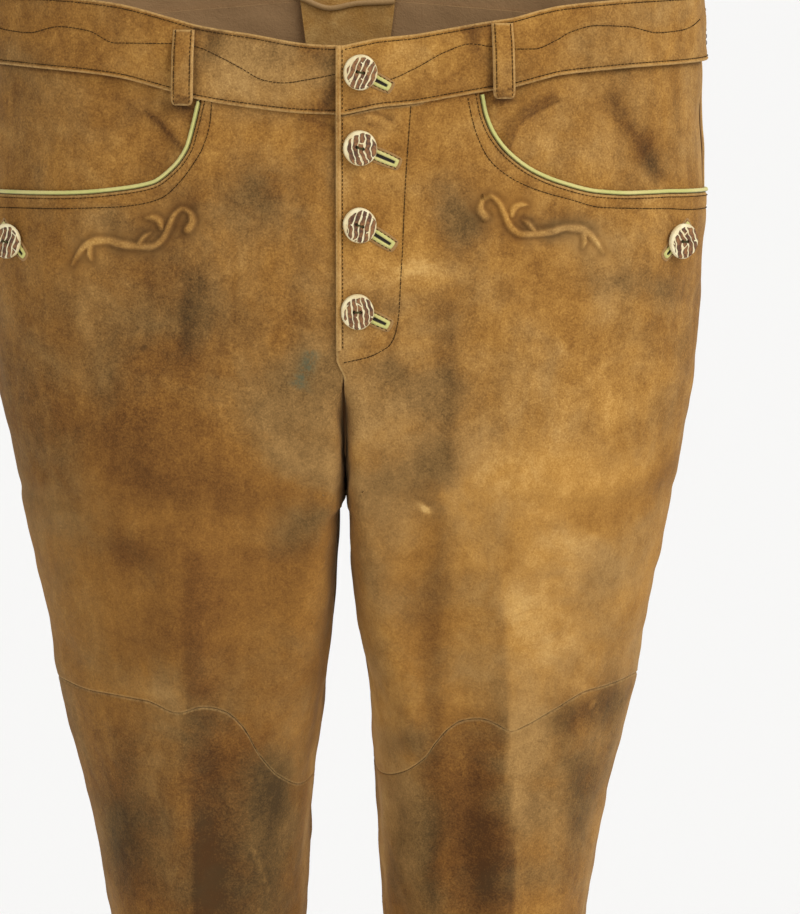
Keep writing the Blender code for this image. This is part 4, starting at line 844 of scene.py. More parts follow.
# the raised strokes with a shallow hollow along both sides, and how close the tooled ground is
def scrollRise(side, around, height):
    rise, hollow, ground = np.zeros(around.shape), np.zeros(around.shape), np.zeros(around.shape)
    for rows in scroll["strokes"]:
        steps = np.linspace(0, len(rows) - 1, (len(rows) - 1) * scroll["steps"] + 1)
        line, width = scrollStroke(side, rows, steps)
        off = np.full(around.shape, 1.0)
        wide = np.zeros(around.shape)
        for (a, z), w in zip(line, width):
            far = np.hypot((around - a) * quarter, height - z)
            closer = far < off
            off, wide = np.where(closer, far, off), np.where(closer, w, wide)
        half = wide * scroll["slimmer"] / 2
        form = 1 - smooth(half - scroll["flank"] * 0.7, half + scroll["flank"] * 0.5, off)
        rise = np.maximum(rise, form * np.minimum(1.0, 0.35 + wide / scroll["fullWidth"]))
        beside = (off - half - scroll["flank"] * 0.9) / scroll["grooveWidth"]
        hollow = np.maximum(hollow, np.exp(-beside ** 2))
        ground = np.maximum(ground, np.exp(-(np.maximum(off - half, 0.0) / scroll["ground"]) ** 2))
    return scroll["rise"] * rise - scroll["groove"] * hollow * (1 - rise), ground * (1 - rise)


# from under the band and the pocket mouth down to the cross seam
def frontPanel(side):
    mouth = seams["mouth_" + side]
    mouthStart = mouth[0][0]

    def pitch(around):
        step = 0.001
        drop = np.abs(curveThrough(mouth, around + step) - curveThrough(mouth, around)) / (step * quarter)
        first, full, fading, last = (mouthStart + run for run in pitches["mouthRuns"])
        nearMouth = smooth(first, full, around) * (1 - smooth(fading, last, around))
        base = pitches["front"] / (1 + nearMouth * drop * pitches["mouthFiner"])
        near = np.minimum(around, 1 - around) * quarter
        coarser = (pitches["front"] - pitches["edge"]) * smooth(0.0, pitches["edgeReach"], near)
        first, full, fading, last = pitches["flyRuns"]
        finer = pitches["flyFiner"] * smooth(first, full, around) * (1 - smooth(fading, last, around))
        flyZone = pitches["front"] * (1 - finer)
        low = scroll["start"][side][0] - 0.03
        finer = (pitches["relief"] - pitches["front"]) * smooth(low, low + 0.01, around)
        scrollZone = pitches["front"] + finer * (1 - smooth(low + 0.31, low + 0.33, around))
        return np.minimum.reduce([base, pitches["edge"] + coarser, flyZone, scrollZone]) / quarter

    ends = endPitch(pitches["front"], pitches["edge"], pitches["fineReach"])(spans["front"])

    def pitchDown(share):
        upper = np.where(share < pitches["scrollShare"], pitches["relief"], 1.0)
        return np.minimum(ends(share), upper / spans["front"])

    start = spacedPlaces(0.0, 1.0, pitch)
    down = spacedPlaces(0.0, 1.0, pitchDown)
    lap = band["lap"]
    if side == "left":
        lap = -seamGap + (band["lap"] + seamGap) * smooth(0.165, 0.23, start)
    above = np.where(start < mouthStart, lap, 0.0)
    start, share = start[None, :], down[:, None]
    atEdge = 1 - smooth(0.0, 0.12, start)
    topAround = start + frontEdge(side, 0.0 * start) * atEdge
    toMouth = (mouth[0][1] - bandSeam(side, mouthStart)) * smooth(0.20, mouthStart, start)
    underBand = bandSeam(side, topAround) + toMouth
    upper = np.where(start < mouthStart, underBand, curveThrough(mouth, start))
    extra = above + np.where(start < mouthStart, bandSeam(side, topAround) - underBand, 0.0)
    lower = crossSeam(side, start) + seamGap / 2
    height = upper + (lower - upper) * share + extra * (1 - smooth(0.0, 0.030, share))
    around = (start + frontEdge(side, height) * atEdge) * (1 - gapShare)
    grooves = [pocketRows[side]] + ([flyRow] if side == "left" else [])
    relief, ground = scrollRise(side, around, height)
    made = layCloth("suede_front_" + side, side, around, height, underLap(side, around, height),
                    grooves=grooves, relief=relief, tooled=ground)
    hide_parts("front_panel_" + side, "relief_scroll_" + side)
    return made


def backPanel(side):
    first = 1 + gapShare
    pitch = endPitch(pitches["back"], pitches["edge"], pitches["fineReach"])
    across, down = (spacedPlaces(0.0, 1.0, pitch(length)) for length in (quarter, spans["back"]))
    start, share = (first + (2 - first) * across)[None, :], down[:, None]
    upper = bandSeam(side, start) + band["lap"]
    height = upper + (crossSeam(side, start) + seamGap / 2 - upper) * share
    limit = np.where(height > bodyForm["crotch"], notchEdge(height), 2.0)
    around = first + (limit - first) * across[None, :]
    made = layCloth("suede_back_" + side, side, around, height, 0.0)
    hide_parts("back_panel_" + side)
    return made


def lowerLeg(side, face):
    low, high = (0.0, 1 - gapShare) if face == "front" else (1 + gapShare, 2.0)
    base = pitches["legFront"] if face == "front" else pitches["legBack"]
    pitch = endPitch(base, pitches["edge"], pitches["fineReach"])
    across, down = (spacedPlaces(0.0, 1.0, pitch(length)) for length in (quarter, spans["leg"]))
    around = np.repeat((low + (high - low) * across)[None, :], len(down), axis=0)
    upper = crossSeam(side, around) - seamGap / 2
    height = upper + (bodyForm["hem"] - upper) * down[:, None]
    made = layCloth("suede_leg_%s_%s" % (face, side), side, around, height, 0.0)
    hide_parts("%s_leg_%s" % (face, side))
    return made


# the band stands a little taller on the right front
def bandTop(side, around):
    taller = 0.0026 * smooth(0.04, 0.22, around) * (1 - smooth(0.60, 0.95, around))
    return bandSeam(side, around) + band["height"] + (taller if side == "right" else 0.0)


def waistBand(side):
    low = -fly["overlap"] / quarter if side == "left" else -fly["standWidth"] / quarter

    def pitch(a):
        ends = pitches["edge"] + np.minimum(a - low, 2.0 - a) * quarter * 0.5
        return np.minimum(pitches["band"] * (1 + smooth(0.7, 1.2, a)), ends) / quarter

    across = spacedPlaces(low, 2.0, pitch)
    ends = endPitch(pitches["band"], pitches["bandEdge"], pitches["smallReach"])
    down = spacedPlaces(0.0, 1.0, ends(band["height"]))
    start, share = across[None, :], down[:, None]
    upper = bandTop(side, start)
    lower = bandSeam(side, start)
    if side == "right":     # its hidden end stays clear of the fly
        lower = lower + np.where(start < 0.01, band["endRise"], 0.0)
    height = upper + (lower - upper) * share
    around = np.where(start > 1, 1 + (notchEdge(height) - 1) * (start - 1), start + 0 * height)
    along = np.linspace(0.0, 1.9, 90)
    rows = [tuple(zip(along, bandSeam(side, along) + cloth["rowInset"])),
            tuple(zip(along, bandTop(side, along) - cloth["rowInset"]))]
    fromSeam = height - bandSeam(side, around)
    ridge = band["ridge"] * np.exp(-((fromSeam - band["ridgeWidth"]) / band["ridgeWidth"]) ** 2)
    made = layCloth("suede_band_" + side, side, around, height, layer + underLap(side, around, height),
                    grooves=rows + [waveRows[side]], relief=ridge)
    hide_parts("waistband_" + side)
    return made


facing = {"start": 0.262, "rightLater": 0.012, "bottom": -0.130, "shorter": 0.045, "shortTo": 0.50}


def pocketFacing(side):
    start = facing["start"] + (0.0 if side == "left" else facing["rightLater"])
    pitch = endPitch(pitches["facing"], pitches["edge"], pitches["smallReach"])
    across = spacedPlaces(0.0, 1.0, pitch(quarter * (1 - start)))
    down = spacedPlaces(0.0, 1.0, pitch(spans["facing"]))
    around = np.repeat((start + (1 - seamGap / quarter - start) * across)[None, :], len(down), axis=0)
    top = bandSeam(side, around) + band["lap"]
    bottom = facing["bottom"] + facing["shorter"] * (1 - smooth(start, facing["shortTo"], around))
    height = top + (bottom - top) * down[:, None]
    made = layCloth("suede_facing_" + side, side, around, height, -layer - seamGap, extra=facingFolds[side])
    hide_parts("pocket_facing_" + side)
    return made


def buttonStand():
    pitch = endPitch(pitches["front"], pitches["edge"], pitches["smallReach"])
    across = spacedPlaces(0.0, 1.0, pitch(fly["standWidth"]))
    down = spacedPlaces(0.0, 1.0, pitch(spans["stand"]))
    width = fly["standWidth"] + fly["underEdge"] - seamGap
    around = -(-fly["underEdge"] + seamGap + width * across) / quarter
    around = np.repeat(around[None, :], len(down), axis=0)
    top = bandSeam("right", around) + band["lap"]
    bottom = fly["standBottom"] + 0.030 * across[None, :] ** 3
    height = top + (bottom - top) * down[:, None]
    made = layCloth("suede_button_stand", "right", around, height, -layer, fine=False)
    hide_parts("fly_button_stand")
    return made


strip = {"bottom": -0.200, "thick": 0.0010, "crown": 0.0003, "roll": 0.0004, "columns": 8}


def flyStrip():
    seam = float(bandSeam("left", 0.0))

    def pitch(z):
        return 0.0005 + 0.0015 * smooth(0.002, 0.008, np.abs(z - seam + 0.0022))

    heights = spacedPlaces(strip["bottom"], seam + band["height"], pitch)[::-1]
    across = np.linspace(0, 1, strip["columns"])
    around = (-fly["overlap"] + fly["stripWidth"] * across) / quarter
    around = np.repeat(around[None, :], len(heights), axis=0)
    height = np.repeat(heights[:, None], len(across), axis=1)
    rounded = strip["crown"] * (1 - (2 * across[None, :] - 1) ** 2)
    lift = seamGap + strip["thick"] + layer * smooth(seam - 0.004, seam - 0.001, height) + rounded
    made = layCloth("suede_fly_strip", "left", around, height, lift, strip["thick"], roll=strip["roll"])
    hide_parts("fly_edge_strip")
    return made


gusset = {"wider": 0.010, "narrows": 0.45, "underTop": 0.003, "below": 0.010, "columns": 33, "rows": 41,
          "cut": (0.062, 0.110, 0.0061), "tones": (0.10, 0.14), "olive": 0.4, "bareEdge": 0.8}


def backGusset():
    across, down = np.linspace(0, 1, gusset["columns"]), np.linspace(0, 1, gusset["rows"])
    width = (band["notchHalf"] + gusset["wider"]) * (1 - gusset["narrows"] * down[:, None])
    x = (across[None, :] - 0.5) * 2 * width
    top = float(bandSeam("left", 2.0)) + band["height"] - gusset["underTop"]
    height = top + (band["notchBottom"] - gusset["below"] - top) * down
    height = np.repeat(height[:, None], len(across), axis=1)
    mirror = np.where(x < 0, -1.0, 1.0).ravel()

    def half(depth):
        points = skin("left", 2.0 - np.abs(x) / quarter, height, -layer - seamGap - depth, (), False)
        points[:, 0] *= mirror
        return points

    fromEdge = edgeDistance(x, height)
    outer = half(cloth["roll"] * (1 - smooth(0.0, cloth["rollReach"], fromEdge)))
    inner = half(wallThick)
    zero = np.zeros(x.size)
    faces = {"fromEdge": (fromEdge.ravel(), zero), "inside": (zero, zero),
             "tone": tuple(zero + tone for tone in gusset["tones"]), "olive": (zero + gusset["olive"],) * 2,
             "grain": (zero + 1, zero + 1), "bareEdge": (zero + gusset["bareEdge"], zero)}
    marks = {mark: np.concatenate(pair) for mark, pair in faces.items()}
    flat = np.stack([x.ravel(), height.ravel()], axis=1)
    made = setMesh("suede_gusset", np.concatenate([outer, inner]), shellFaces(*x.shape), marks,
                   np.concatenate([flat, flat]))
    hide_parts("back_gusset")
    return made


beltLoops = {"width": 0.0120, "leather": 0.0020, "overhang": 0.0055, "corner": 0.0042, "underTop": 0.002,
             "rise": 0.0034, "rowAt": 0.72, "grooveDepth": 0.00045, "dome": 0.0010, "folded": 0.0005,
             "roll": 0.0007, "columns": 25,
             "places": (("right", 0.350), ("left", 0.350), ("left", 1.120), ("right", 1.120),
                        ("left", 1.740), ("right", 1.740))}


# place and lift of a point of a belt loop, across -1 to 1 and share from its top to its end
def loopPlace(side, around, across, share):
    drop = float(bandSeam(side, around))
    top, low = drop + band["height"] - beltLoops["underTop"], drop - beltLoops["overhang"]
    fromEnd = (1 - share) * (top - low)
    corner = np.clip(1 - fromEnd / beltLoops["corner"], 0.0, 1.0)
    half = beltLoops["width"] / 2 * (0.62 + 0.38 * np.sqrt(1 - corner ** 2))
    height = top + (low - top) * share
    rise = beltLoops["rise"] * smooth(0.0, 0.35, share) * (1 - 0.45 * smooth(0.75, 1.0, share))
    lift = layer + seamGap + beltLoops["leather"] + rise
    return around + across * half / quarter, height + 0 * across, lift


def beltLoop(number, side, around):
    across = np.sin(np.linspace(-math.pi / 2, math.pi / 2, beltLoops["columns"]))
    ends = endPitch(pitches["loop"], pitches["loopEdge"], pitches["smallReach"])
    down = spacedPlaces(0.0, 1.0, ends(spans["loop"]))
    place, height, lift = loopPlace(side, around, across[None, :], down[:, None])
    off = np.abs(across[None, :])
    groove = beltLoops["grooveDepth"] * np.exp(-((off - beltLoops["rowAt"]) / 0.10) ** 2)
    groove = groove * smooth(0.02, 0.06, down[:, None])
    dome = beltLoops["dome"] * (1 - off ** 4) - 0.0006
    folded = beltLoops["folded"] * smooth(0.80, 0.92, down[:, None])
    made = layCloth("suede_loop_%d" % number, side, place + 0 * height, height + 0 * place,
                    lift - groove + dome + folded, beltLoops["leather"] - 0.0002, fine=False,
                    roll=beltLoops["roll"])
    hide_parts("belt_loop_%d" % number)
    return made


suedePieces = []
for side in sides:
    suedePieces += [frontPanel(side), backPanel(side), lowerLeg(side, "front"), lowerLeg(side, "back"),
                    waistBand(side), pocketFacing(side)]
suedePieces += [buttonStand(), flyStrip(), backGusset()]
suedePieces += [beltLoop(k + 1, *place) for k, place in enumerate(beltLoops["places"])]
print("leather laid:", len(suedePieces), "pieces")

# ---- sewing, in rows of thread laid along the seams
sewing = {"pitch": {"fine": 0.0023, "coarse": 0.0037}, "length": {"fine": 0.0018, "coarse": 0.0028},
          "thick": 0.00024, "dip": 0.00035, "jitter": 0.14, "seed": 5, "pathStep": 0.0012,
          "mouthInset": 0.0017, "sideSeam": 1.010, "inseamRows": (0.0016, 0.0046), "inseamSunk": -0.00035,
          "riseRows": (0.0018, 0.0048), "sideSunk": -0.0004, "hemRow": 0.012, "notchInset": 0.0022}
threads = {"front": [], "far": []}


# one row through a line of (around, height), kept as points on the leather and the way out of it
def sewRow(thread, side, line, lift=0.0):
    spots = np.array(line, float)
    flat = spots * (quarter, 1.0)
    run = np.concatenate([[0.0], np.cumsum(np.linalg.norm(np.diff(flat, axis=0), axis=1))])
    where = np.linspace(0.0, run[-1], max(int(run[-1] / sewing["pathStep"]), 2) + 1)
    around = curveThrough(list(zip(run, spots[:, 0])), where)
    height = curveThrough(list(zip(run, spots[:, 1])), where)
    onto = lift(height) if callable(lift) else lift
    points = skin(side, around, height, onto + underLap(side, around, height) * (around >= 0))
    threads[thread].append((points, outward(side, around, height)))


def level(around, heights):
    return list(zip(around, heights))


def sewGarment():
    inset = cloth["rowInset"]
    for side in sides:
        first = 0.006 if side == "left" else 0.020
        # the band: along its lower and upper edges, and the wavy row across it
        for thread, start, stop, count in (("front", first, 0.95, 60), ("far", 0.955, 1.905, 50)):
            part = np.linspace(start, stop, count)
            sewRow(thread, side, level(part, bandSeam(side, part) + inset), layer)
            sewRow(thread, side, level(part, bandTop(side, part) - inset), layer)
        sewRow("front", side, waveRows[side], layer)
        # pocket mouth: two rows round it
        mouth = seams["mouth_" + side]
        places = np.linspace(mouth[0][0], 0.99, 160)
        spots = np.stack([places * quarter, curveThrough(mouth, places)], axis=1)
        along = np.gradient(spots, axis=0)
        along /= np.linalg.norm(along, axis=1)[:, None]
        shifted = spots + np.stack([along[:, 1], -along[:, 0]], axis=1) * sewing["mouthInset"]
        sewRow("front", side, [(x / quarter, z) for x, z in shifted], 0.0002)
        sewRow("front", side, pocketRows[side])
        # side seam and inseam, rise and hem
        heights = np.linspace(-0.045, bodyForm["hem"] + 0.004, 80)
        sewRow("far", side, level(0 * heights + sewing["sideSeam"], heights), sewing["sideSunk"])
        for off in sewing["inseamRows"]:
            low = np.linspace(-0.345, bodyForm["hem"] + 0.004, 60)
            sewRow("far", side, level(0 * low + off / quarter, low), sewing["inseamSunk"])
        for off in sewing["riseRows"]:
            down = np.linspace(-0.084, -0.284, 50)
            sewRow("far", side, level(2.0 - off / quarter + 0 * down, down))
        hemLine = np.linspace(0.004, 1.996, 120)
        sewRow("far", side, level(hemLine, 0 * hemLine + bodyForm["hem"] + sewing["hemRow"]))
        # the notch's edges, on the band and below it
        down = np.linspace(0.016, -0.078, 40)
        sewRow("far", side, level(notchEdge(down) - sewing["notchInset"] / quarter, down),
               lambda z: layer * smooth(-0.0185, -0.0145, z))
    sewRow("front", "left", flyRow)
    # beside the fly's edge strip, below the band and on it
    for high, low, count, lift in ((-0.067, -0.198, 40, 0.0), (-0.028, -0.060, 14, layer)):
        down = np.linspace(high, low, count)
        sewRow("front", "left", level(-0.0006 / quarter + 0 * down, down), lift)


def sewLoops():
    for side, around in beltLoops["places"]:
        for off in (-beltLoops["rowAt"], beltLoops["rowAt"]):
            share = np.linspace(0.03, 0.94, 26)
            place, height, lift = loopPlace(side, around, np.full(share.shape, off), share)
            points = skin(side, place, height, lift + 0.0001, (), False)
            threads["front" if around < 1 else "far"].append((points, outward(side, place, height)))


# the rows as one mesh of edges that carries the way out at each point
def threadPath(name, rows):
    points = np.concatenate([row[0] for row in rows])
    normals = np.concatenate([row[1] for row in rows])
    edges, start = [], 0
    for row in rows:
        count = len(row[0])
        edges += [(start + k, start + k + 1) for k in range(count - 1)]
        start += count
    path = bpy.data.meshes.new(name)
    path.from_pydata([tuple(point) for point in points], edges, [])
    out = path.attributes.new("out", "FLOAT_VECTOR", "POINT")
    out.data.foreach_set("vector", normals.astype(np.float32).ravel())
    made = bpy.data.objects.new(name, path)
    bpy.context.scene.collection.objects.link(made)
    return made


def stitchTree():
    tree = bpy.data.node_groups.new("stitchesAlongRows", "GeometryNodeTree")
    face = tree.interface
    face.new_socket("Rows", in_out="INPUT", socket_type="NodeSocketGeometry")
    for name in ("Pitch", "Length", "Thick", "Dip", "Jitter"):
        face.new_socket(name, in_out="INPUT", socket_type="NodeSocketFloat")
    face.new_socket("Seed", in_out="INPUT", socket_type="NodeSocketInt")
    face.new_socket("Thread", in_out="INPUT", socket_type="NodeSocketMaterial")
    face.new_socket("Stitches", in_out="OUTPUT", socket_type="NodeSocketGeometry")

    def node(kind, links=(), **settings):
        made = tree.nodes.new(kind)
        for setting, value in settings.items():
            setattr(made, setting, value)
        for socket, source in dict(links).items():
            if isinstance(source, bpy.types.NodeSocket):
                tree.links.new(source, made.inputs[socket])
            else:
                made.inputs[socket].default_value = source
        return made

    def number(operation, first, second):
        return node("ShaderNodeMath", {0: first, 1: second}, operation=operation).outputs[0]

    given = node("NodeGroupInput").outputs
    half = number("MULTIPLY", given["Length"], 0.5)
    low = number("MULTIPLY", given["Dip"], -1.0)
    start = node("ShaderNodeCombineXYZ", {"X": number("MULTIPLY", half, -1.0), "Z": low}).outputs[0]
    high = number("MULTIPLY", given["Dip"], 2.2)
    middle = node("ShaderNodeCombineXYZ", {"Z": high}).outputs[0]
    stop = node("ShaderNodeCombineXYZ", {"X": half, "Z": low}).outputs[0]
    bow = node("GeometryNodeCurveQuadraticBezier",
               {"Resolution": 3, "Start": start, "Middle": middle, "End": stop})
    ring = node("GeometryNodeCurvePrimitiveCircle", {"Resolution": 5, "Radius": given["Thick"]})
    stitch = node("GeometryNodeCurveToMesh",
                  {"Curve": bow.outputs[0], "Profile Curve": ring.outputs[0], "Fill Caps": True})
    rows = node("GeometryNodeMeshToCurve", {"Mesh": given["Rows"]})
    spaced = node("GeometryNodeResampleCurve", {"Curve": rows.outputs[0], "Length": given["Pitch"]},
                  mode="LENGTH")
    out = node("GeometryNodeInputNamedAttribute", {"Name": "out"}, data_type="FLOAT_VECTOR").outputs[0]
    tangent = node("GeometryNodeInputTangent").outputs[0]
    turn = node("FunctionNodeAxesToRotation", {"Primary Axis": out, "Secondary Axis": tangent},
                primary_axis="Z", secondary_axis="X").outputs[0]
    least = number("SUBTRACT", 1.0, given["Jitter"])
    most = number("ADD", 1.0, given["Jitter"])
    size = node("FunctionNodeRandomValue", {"Seed": given["Seed"]}, data_type="FLOAT")
    tree.links.new(least, size.inputs[2])
    tree.links.new(most, size.inputs[3])
    sewn = node("GeometryNodeInstanceOnPoints", {"Points": spaced.outputs[0], "Instance": stitch.outputs[0],
                                                 "Rotation": turn, "Scale": size.outputs[1]})
    real = node("GeometryNodeRealizeInstances", {"Geometry": sewn.outputs[0]})
    smoothed = node("GeometryNodeSetShadeSmooth", {"Geometry": real.outputs[0]})
    dyed = node("GeometryNodeSetMaterial", {"Geometry": smoothed.outputs[0], "Material": given["Thread"]})
    node("NodeGroupOutput", {"Stitches": dyed.outputs[0]})
    return tree


def sew(name, rows, spacing, thread, tree):
    path = threadPath(name, rows)
    made = path.modifiers.new("stitches", "NODES")
    made.node_group = tree
    values = {"Pitch": sewing["pitch"][spacing], "Length": sewing["length"][spacing], "Thread": thread}
    for part in ("Thick", "Dip", "Jitter", "Seed"):
        values[part] = sewing[part.lower()]
    for item in tree.interface.items_tree:
        if item.item_type == "SOCKET" and item.name in values:
            made[item.identifier] = values[item.name]
    grown = path.evaluated_get(bpy.context.evaluated_depsgraph_get())
    plain = bpy.data.meshes.new_from_object(grown)
    path.modifiers.clear()
    path.data = plain
    if thread.name not in plain.materials:
        plain.materials.clear()
        plain.materials.append(thread)
    return path


def threadLook(name, colour):
    look = Look(name, 0.85, Specular_IOR_Level=0.08)
    twist = look.noise(1500.0, 2.0)
    look.colour(look.blend(twist, tuple(c * 0.6 for c in colour), colour))
    look.bump(twist, 0.0002, 0.5)
    return look.material


sewGarment()
sewLoops()

# ---- shader maths as expressions on sockets
# a socket that can stand in a sum
class Value:
    def __init__(self, look, socket):
        self.look, self.socket = look, socket

    def math(self, operation, first, second):
        return self.look.add("ShaderNodeMath", {"operation": operation}, {0: first, 1: second})

    def __add__(self, other):
        return self.math("ADD", self, other)

    __radd__ = __add__

    def __sub__(self, other):
        return self.math("SUBTRACT", self, other)

    def __rsub__(self, other):
        return self.math("SUBTRACT", other, self)

    def __mul__(self, other):
        return self.math("MULTIPLY", self, other)

    __rmul__ = __mul__

    def smooth(self, low, high):
        return self.look.add("ShaderNodeMapRange", {"interpolation_type": "SMOOTHSTEP", "clamp": True},
                             {"Value": self, "From Min": low, "From Max": high})


# a material and its nodes
class Look:
    def __init__(self, name, roughness, **fixed):
        self.material = bpy.data.materials.new(name)
        self.material.use_nodes = True
        self.tree = self.material.node_tree
        self.shader = self.tree.nodes["Principled BSDF"]
        self.shader.inputs["Roughness"].default_value = roughness
        for socket, value in fixed.items():
            self.shader.inputs[socket.replace("_", " ")].default_value = value
        self.place = self.add("ShaderNodeTexCoord", {}, {}, "Object")

    def feed(self, socket, value):
        if isinstance(value, Value):
            self.tree.links.new(value.socket, socket)
        elif hasattr(socket.default_value, "__len__") and len(value) < len(socket.default_value):
            socket.default_value = (*value, 1.0)
        else:
            socket.default_value = value

    def add(self, kind, settings, values, out=0):
        node = self.tree.nodes.new(kind)
        stops = settings.pop("stops", ())
        for setting, value in settings.items():
            setattr(node, setting, value)
        for k, (place, colour) in enumerate(stops):
            if k > 1:       # a new ramp has two
                node.color_ramp.elements.new(place)
            node.color_ramp.elements[k].position = place
            node.color_ramp.elements[k].color = (*colour, 1.0)
        for socket, value in values.items():
            self.feed(node.inputs[socket], value)
        return Value(self, node.outputs[out])

    def noise(self, scale, detail=2.0, rough=0.5, warp=0.0, at=None):
        values = {"Scale": scale, "Detail": detail, "Roughness": rough, "Distortion": warp}
        return self.add("ShaderNodeTexNoise", {}, {"Vector": at or self.place, **values})

    def mark(self, name):
        return self.add("ShaderNodeAttribute", {"attribute_name": name}, {}, "Fac")

    def blend(self, share, first, second):
        return self.add("ShaderNodeMix", {"data_type": "RGBA", "clamp_factor": True},
                        {0: share, 6: first, 7: second}, 2)

    def stretch(self, scale, turn=(0.0, 0.0, 0.0)):
        return self.add("ShaderNodeMapping", {}, {"Vector": self.place, "Rotation": turn, "Scale": scale})

    def colour(self, value):
        self.feed(self.shader.inputs["Base Color"], value)

    def bump(self, height, distance, strength=1.0, under=None):
        values = {"Height": height, "Distance": distance, "Strength": strength}
        if under is not None:
            values["Normal"] = under
        made = self.add("ShaderNodeBump", {}, values)
        self.feed(self.shader.inputs["Normal"], made)
        return made


suedeTones = {      # from the darkest tone to the palest, for orange and for olive suede
    "orange": ((0.068, 0.026, 0.006), (0.146, 0.060, 0.013), (0.262, 0.119, 0.024), (0.412, 0.206, 0.045),
               (0.590, 0.327, 0.088)),
    "olive": ((0.060, 0.034, 0.012), (0.136, 0.074, 0.023), (0.250, 0.136, 0.043), (0.385, 0.218, 0.071),
              (0.560, 0.350, 0.125)),
    "smudge": (0.075, 0.098, 0.060), "rawEdge": (0.540, 0.335, 0.125), "inside": (0.300, 0.180, 0.085),
}


# suede: a fine speckle, cloudy mottling, and the patina, painted shade and painted light that the shells
# carry
def suedeLook(name, level):
    look = Look(name, 0.92, Sheen_Weight=0.12, Sheen_Roughness=0.45, Sheen_Tint=(1.0, 0.78, 0.45, 1.0),
                Specular_IOR_Level=0.15)
    cloud = look.noise(9.0, 4.0, 0.55, 0.8)
    otherCloud = look.noise(15.0, 4.0, 0.6, 0.5, look.stretch((1.0, 1.0, 1.0), (0.7, 0.3, 1.1)))
    mottle = look.noise(36.0, 5.0, 0.65, 0.7)
    blotch = look.noise(120.0, 4.0, 0.65, 0.3)
    streak = look.noise(70.0, 3.0, 0.6, 0.3, look.stretch((1.0, 1.0, 0.22)))
    nap = look.noise(330.0, 3.0, 0.7, 1.4)
    speckle = look.noise(950.0, 2.0, 0.6)
    fine = ((mottle - 0.5) * 0.38 + (blotch - 0.5) * 0.24 + (streak - 0.5) * 0.26 + (nap - 0.5) * 0.32
            + (speckle - 0.5) * 0.40)
    dots = (nap * 0.5 + speckle * 0.8).smooth(0.55, 0.80)
    # raised relief is painted lighter, a painted highlight on its tops; the tooled ground gets darker dots
    tone = (look.mark("tone") * (mottle + 0.5) + level + (cloud - 0.5) * 0.42 + fine * look.mark("grain")
            + look.mark("raised") * 0.15 - look.mark("tooled") * dots * 0.24)

    def ramp(hue):
        stops = [(k / 4, colour) for k, colour in enumerate(suedeTones[hue])]
        return look.add("ShaderNodeValToRGB", {"stops": stops}, {"Fac": tone})

    lean = (look.mark("olive") + (otherCloud - 0.5) * 2.2 + (mottle - 0.5) * 0.8 + 0.30).smooth(0.0, 1.0)
    colour = look.blend(lean, ramp("orange"), ramp("olive"))
    smudge = look.mark("smudge") * (blotch * 1.0 + nap * 0.8).smooth(0.70, 1.02)
    colour = look.blend(smudge * 0.8, colour, suedeTones["smudge"])
    edge = 1 - look.mark("fromEdge").smooth(0.0005, 0.0016)
    bare = edge * (nap.smooth(0.2, 0.7) * 0.6 + 0.12) * look.mark("bareEdge")
    colour = look.blend(bare, colour, suedeTones["rawEdge"])
    look.colour(look.blend(look.mark("inside"), colour, suedeTones["inside"]))
    coarse = look.bump(mottle * 0.45 + blotch * 0.55, 0.0030, 0.40)
    look.bump(speckle * 0.55 + nap * 0.45, 0.0006, 0.65, coarse)
    return look.material


wornSuede = suedeLook("worn_suede", 0.655)
for piece in suedePieces:
    piece.data.materials.append(wornSuede)
print("suede finished")

# ---- round strips: the pocket piping and the back lace
# quads of a run of rings, with both ends capped; each ring starts half a step off its tip
def ringFaces(rings, around):
    index = np.arange(rings * around).reshape(rings, around)
    after = np.roll(index, -1, axis=1)
    faces = [np.stack([index[:-1], after[:-1], after[1:], index[1:]], axis=-1).reshape(-1, 4)]
    pairs = np.arange(around // 2 - 1)
    for ring, turn in ((index[0], False), (index[-1], True)):
        far = around - 1 - pairs
        cap = np.stack([ring[pairs], ring[far], ring[far - 1], ring[pairs + 1]], axis=-1)
        faces.append(cap[:, ::-1] if turn else cap)
    return np.concatenate(faces)


def roundStrip(name, centres, normals, halfWidth, halfHeight, sidesRound=10, panelSide=1):
    along = np.gradient(centres, axis=0)
    along /= np.linalg.norm(along, axis=1)[:, None]
    sideways = np.cross(along, normals)
    sideways /= np.linalg.norm(sideways, axis=1)[:, None]
    upward = np.cross(sideways, along)
    angle = (np.arange(sidesRound) + 0.5) / sidesRound * math.tau
    wide = np.broadcast_to(halfWidth, len(centres))[:, None, None]
    tall = np.broadcast_to(halfHeight, len(centres))[:, None, None]
    rings = (centres[:, None, :] + sideways[:, None, :] * np.cos(angle)[None, :, None] * wide
             + upward[:, None, :] * np.sin(angle)[None, :, None] * tall)
    # turned is 1 on the side towards the panel, which the trim finish paints darker green as painted shade
    turned = np.tile(np.cos(angle) * panelSide, len(centres))
    return setMesh(name, rings.reshape(-1, 3), ringFaces(len(centres), sidesRound), {"turned": turned})


piping = {"radius": 0.00122, "fromEdge": 0.00165, "underBand": 0.0012, "step": 0.0012, "wrinkle": 0.06}


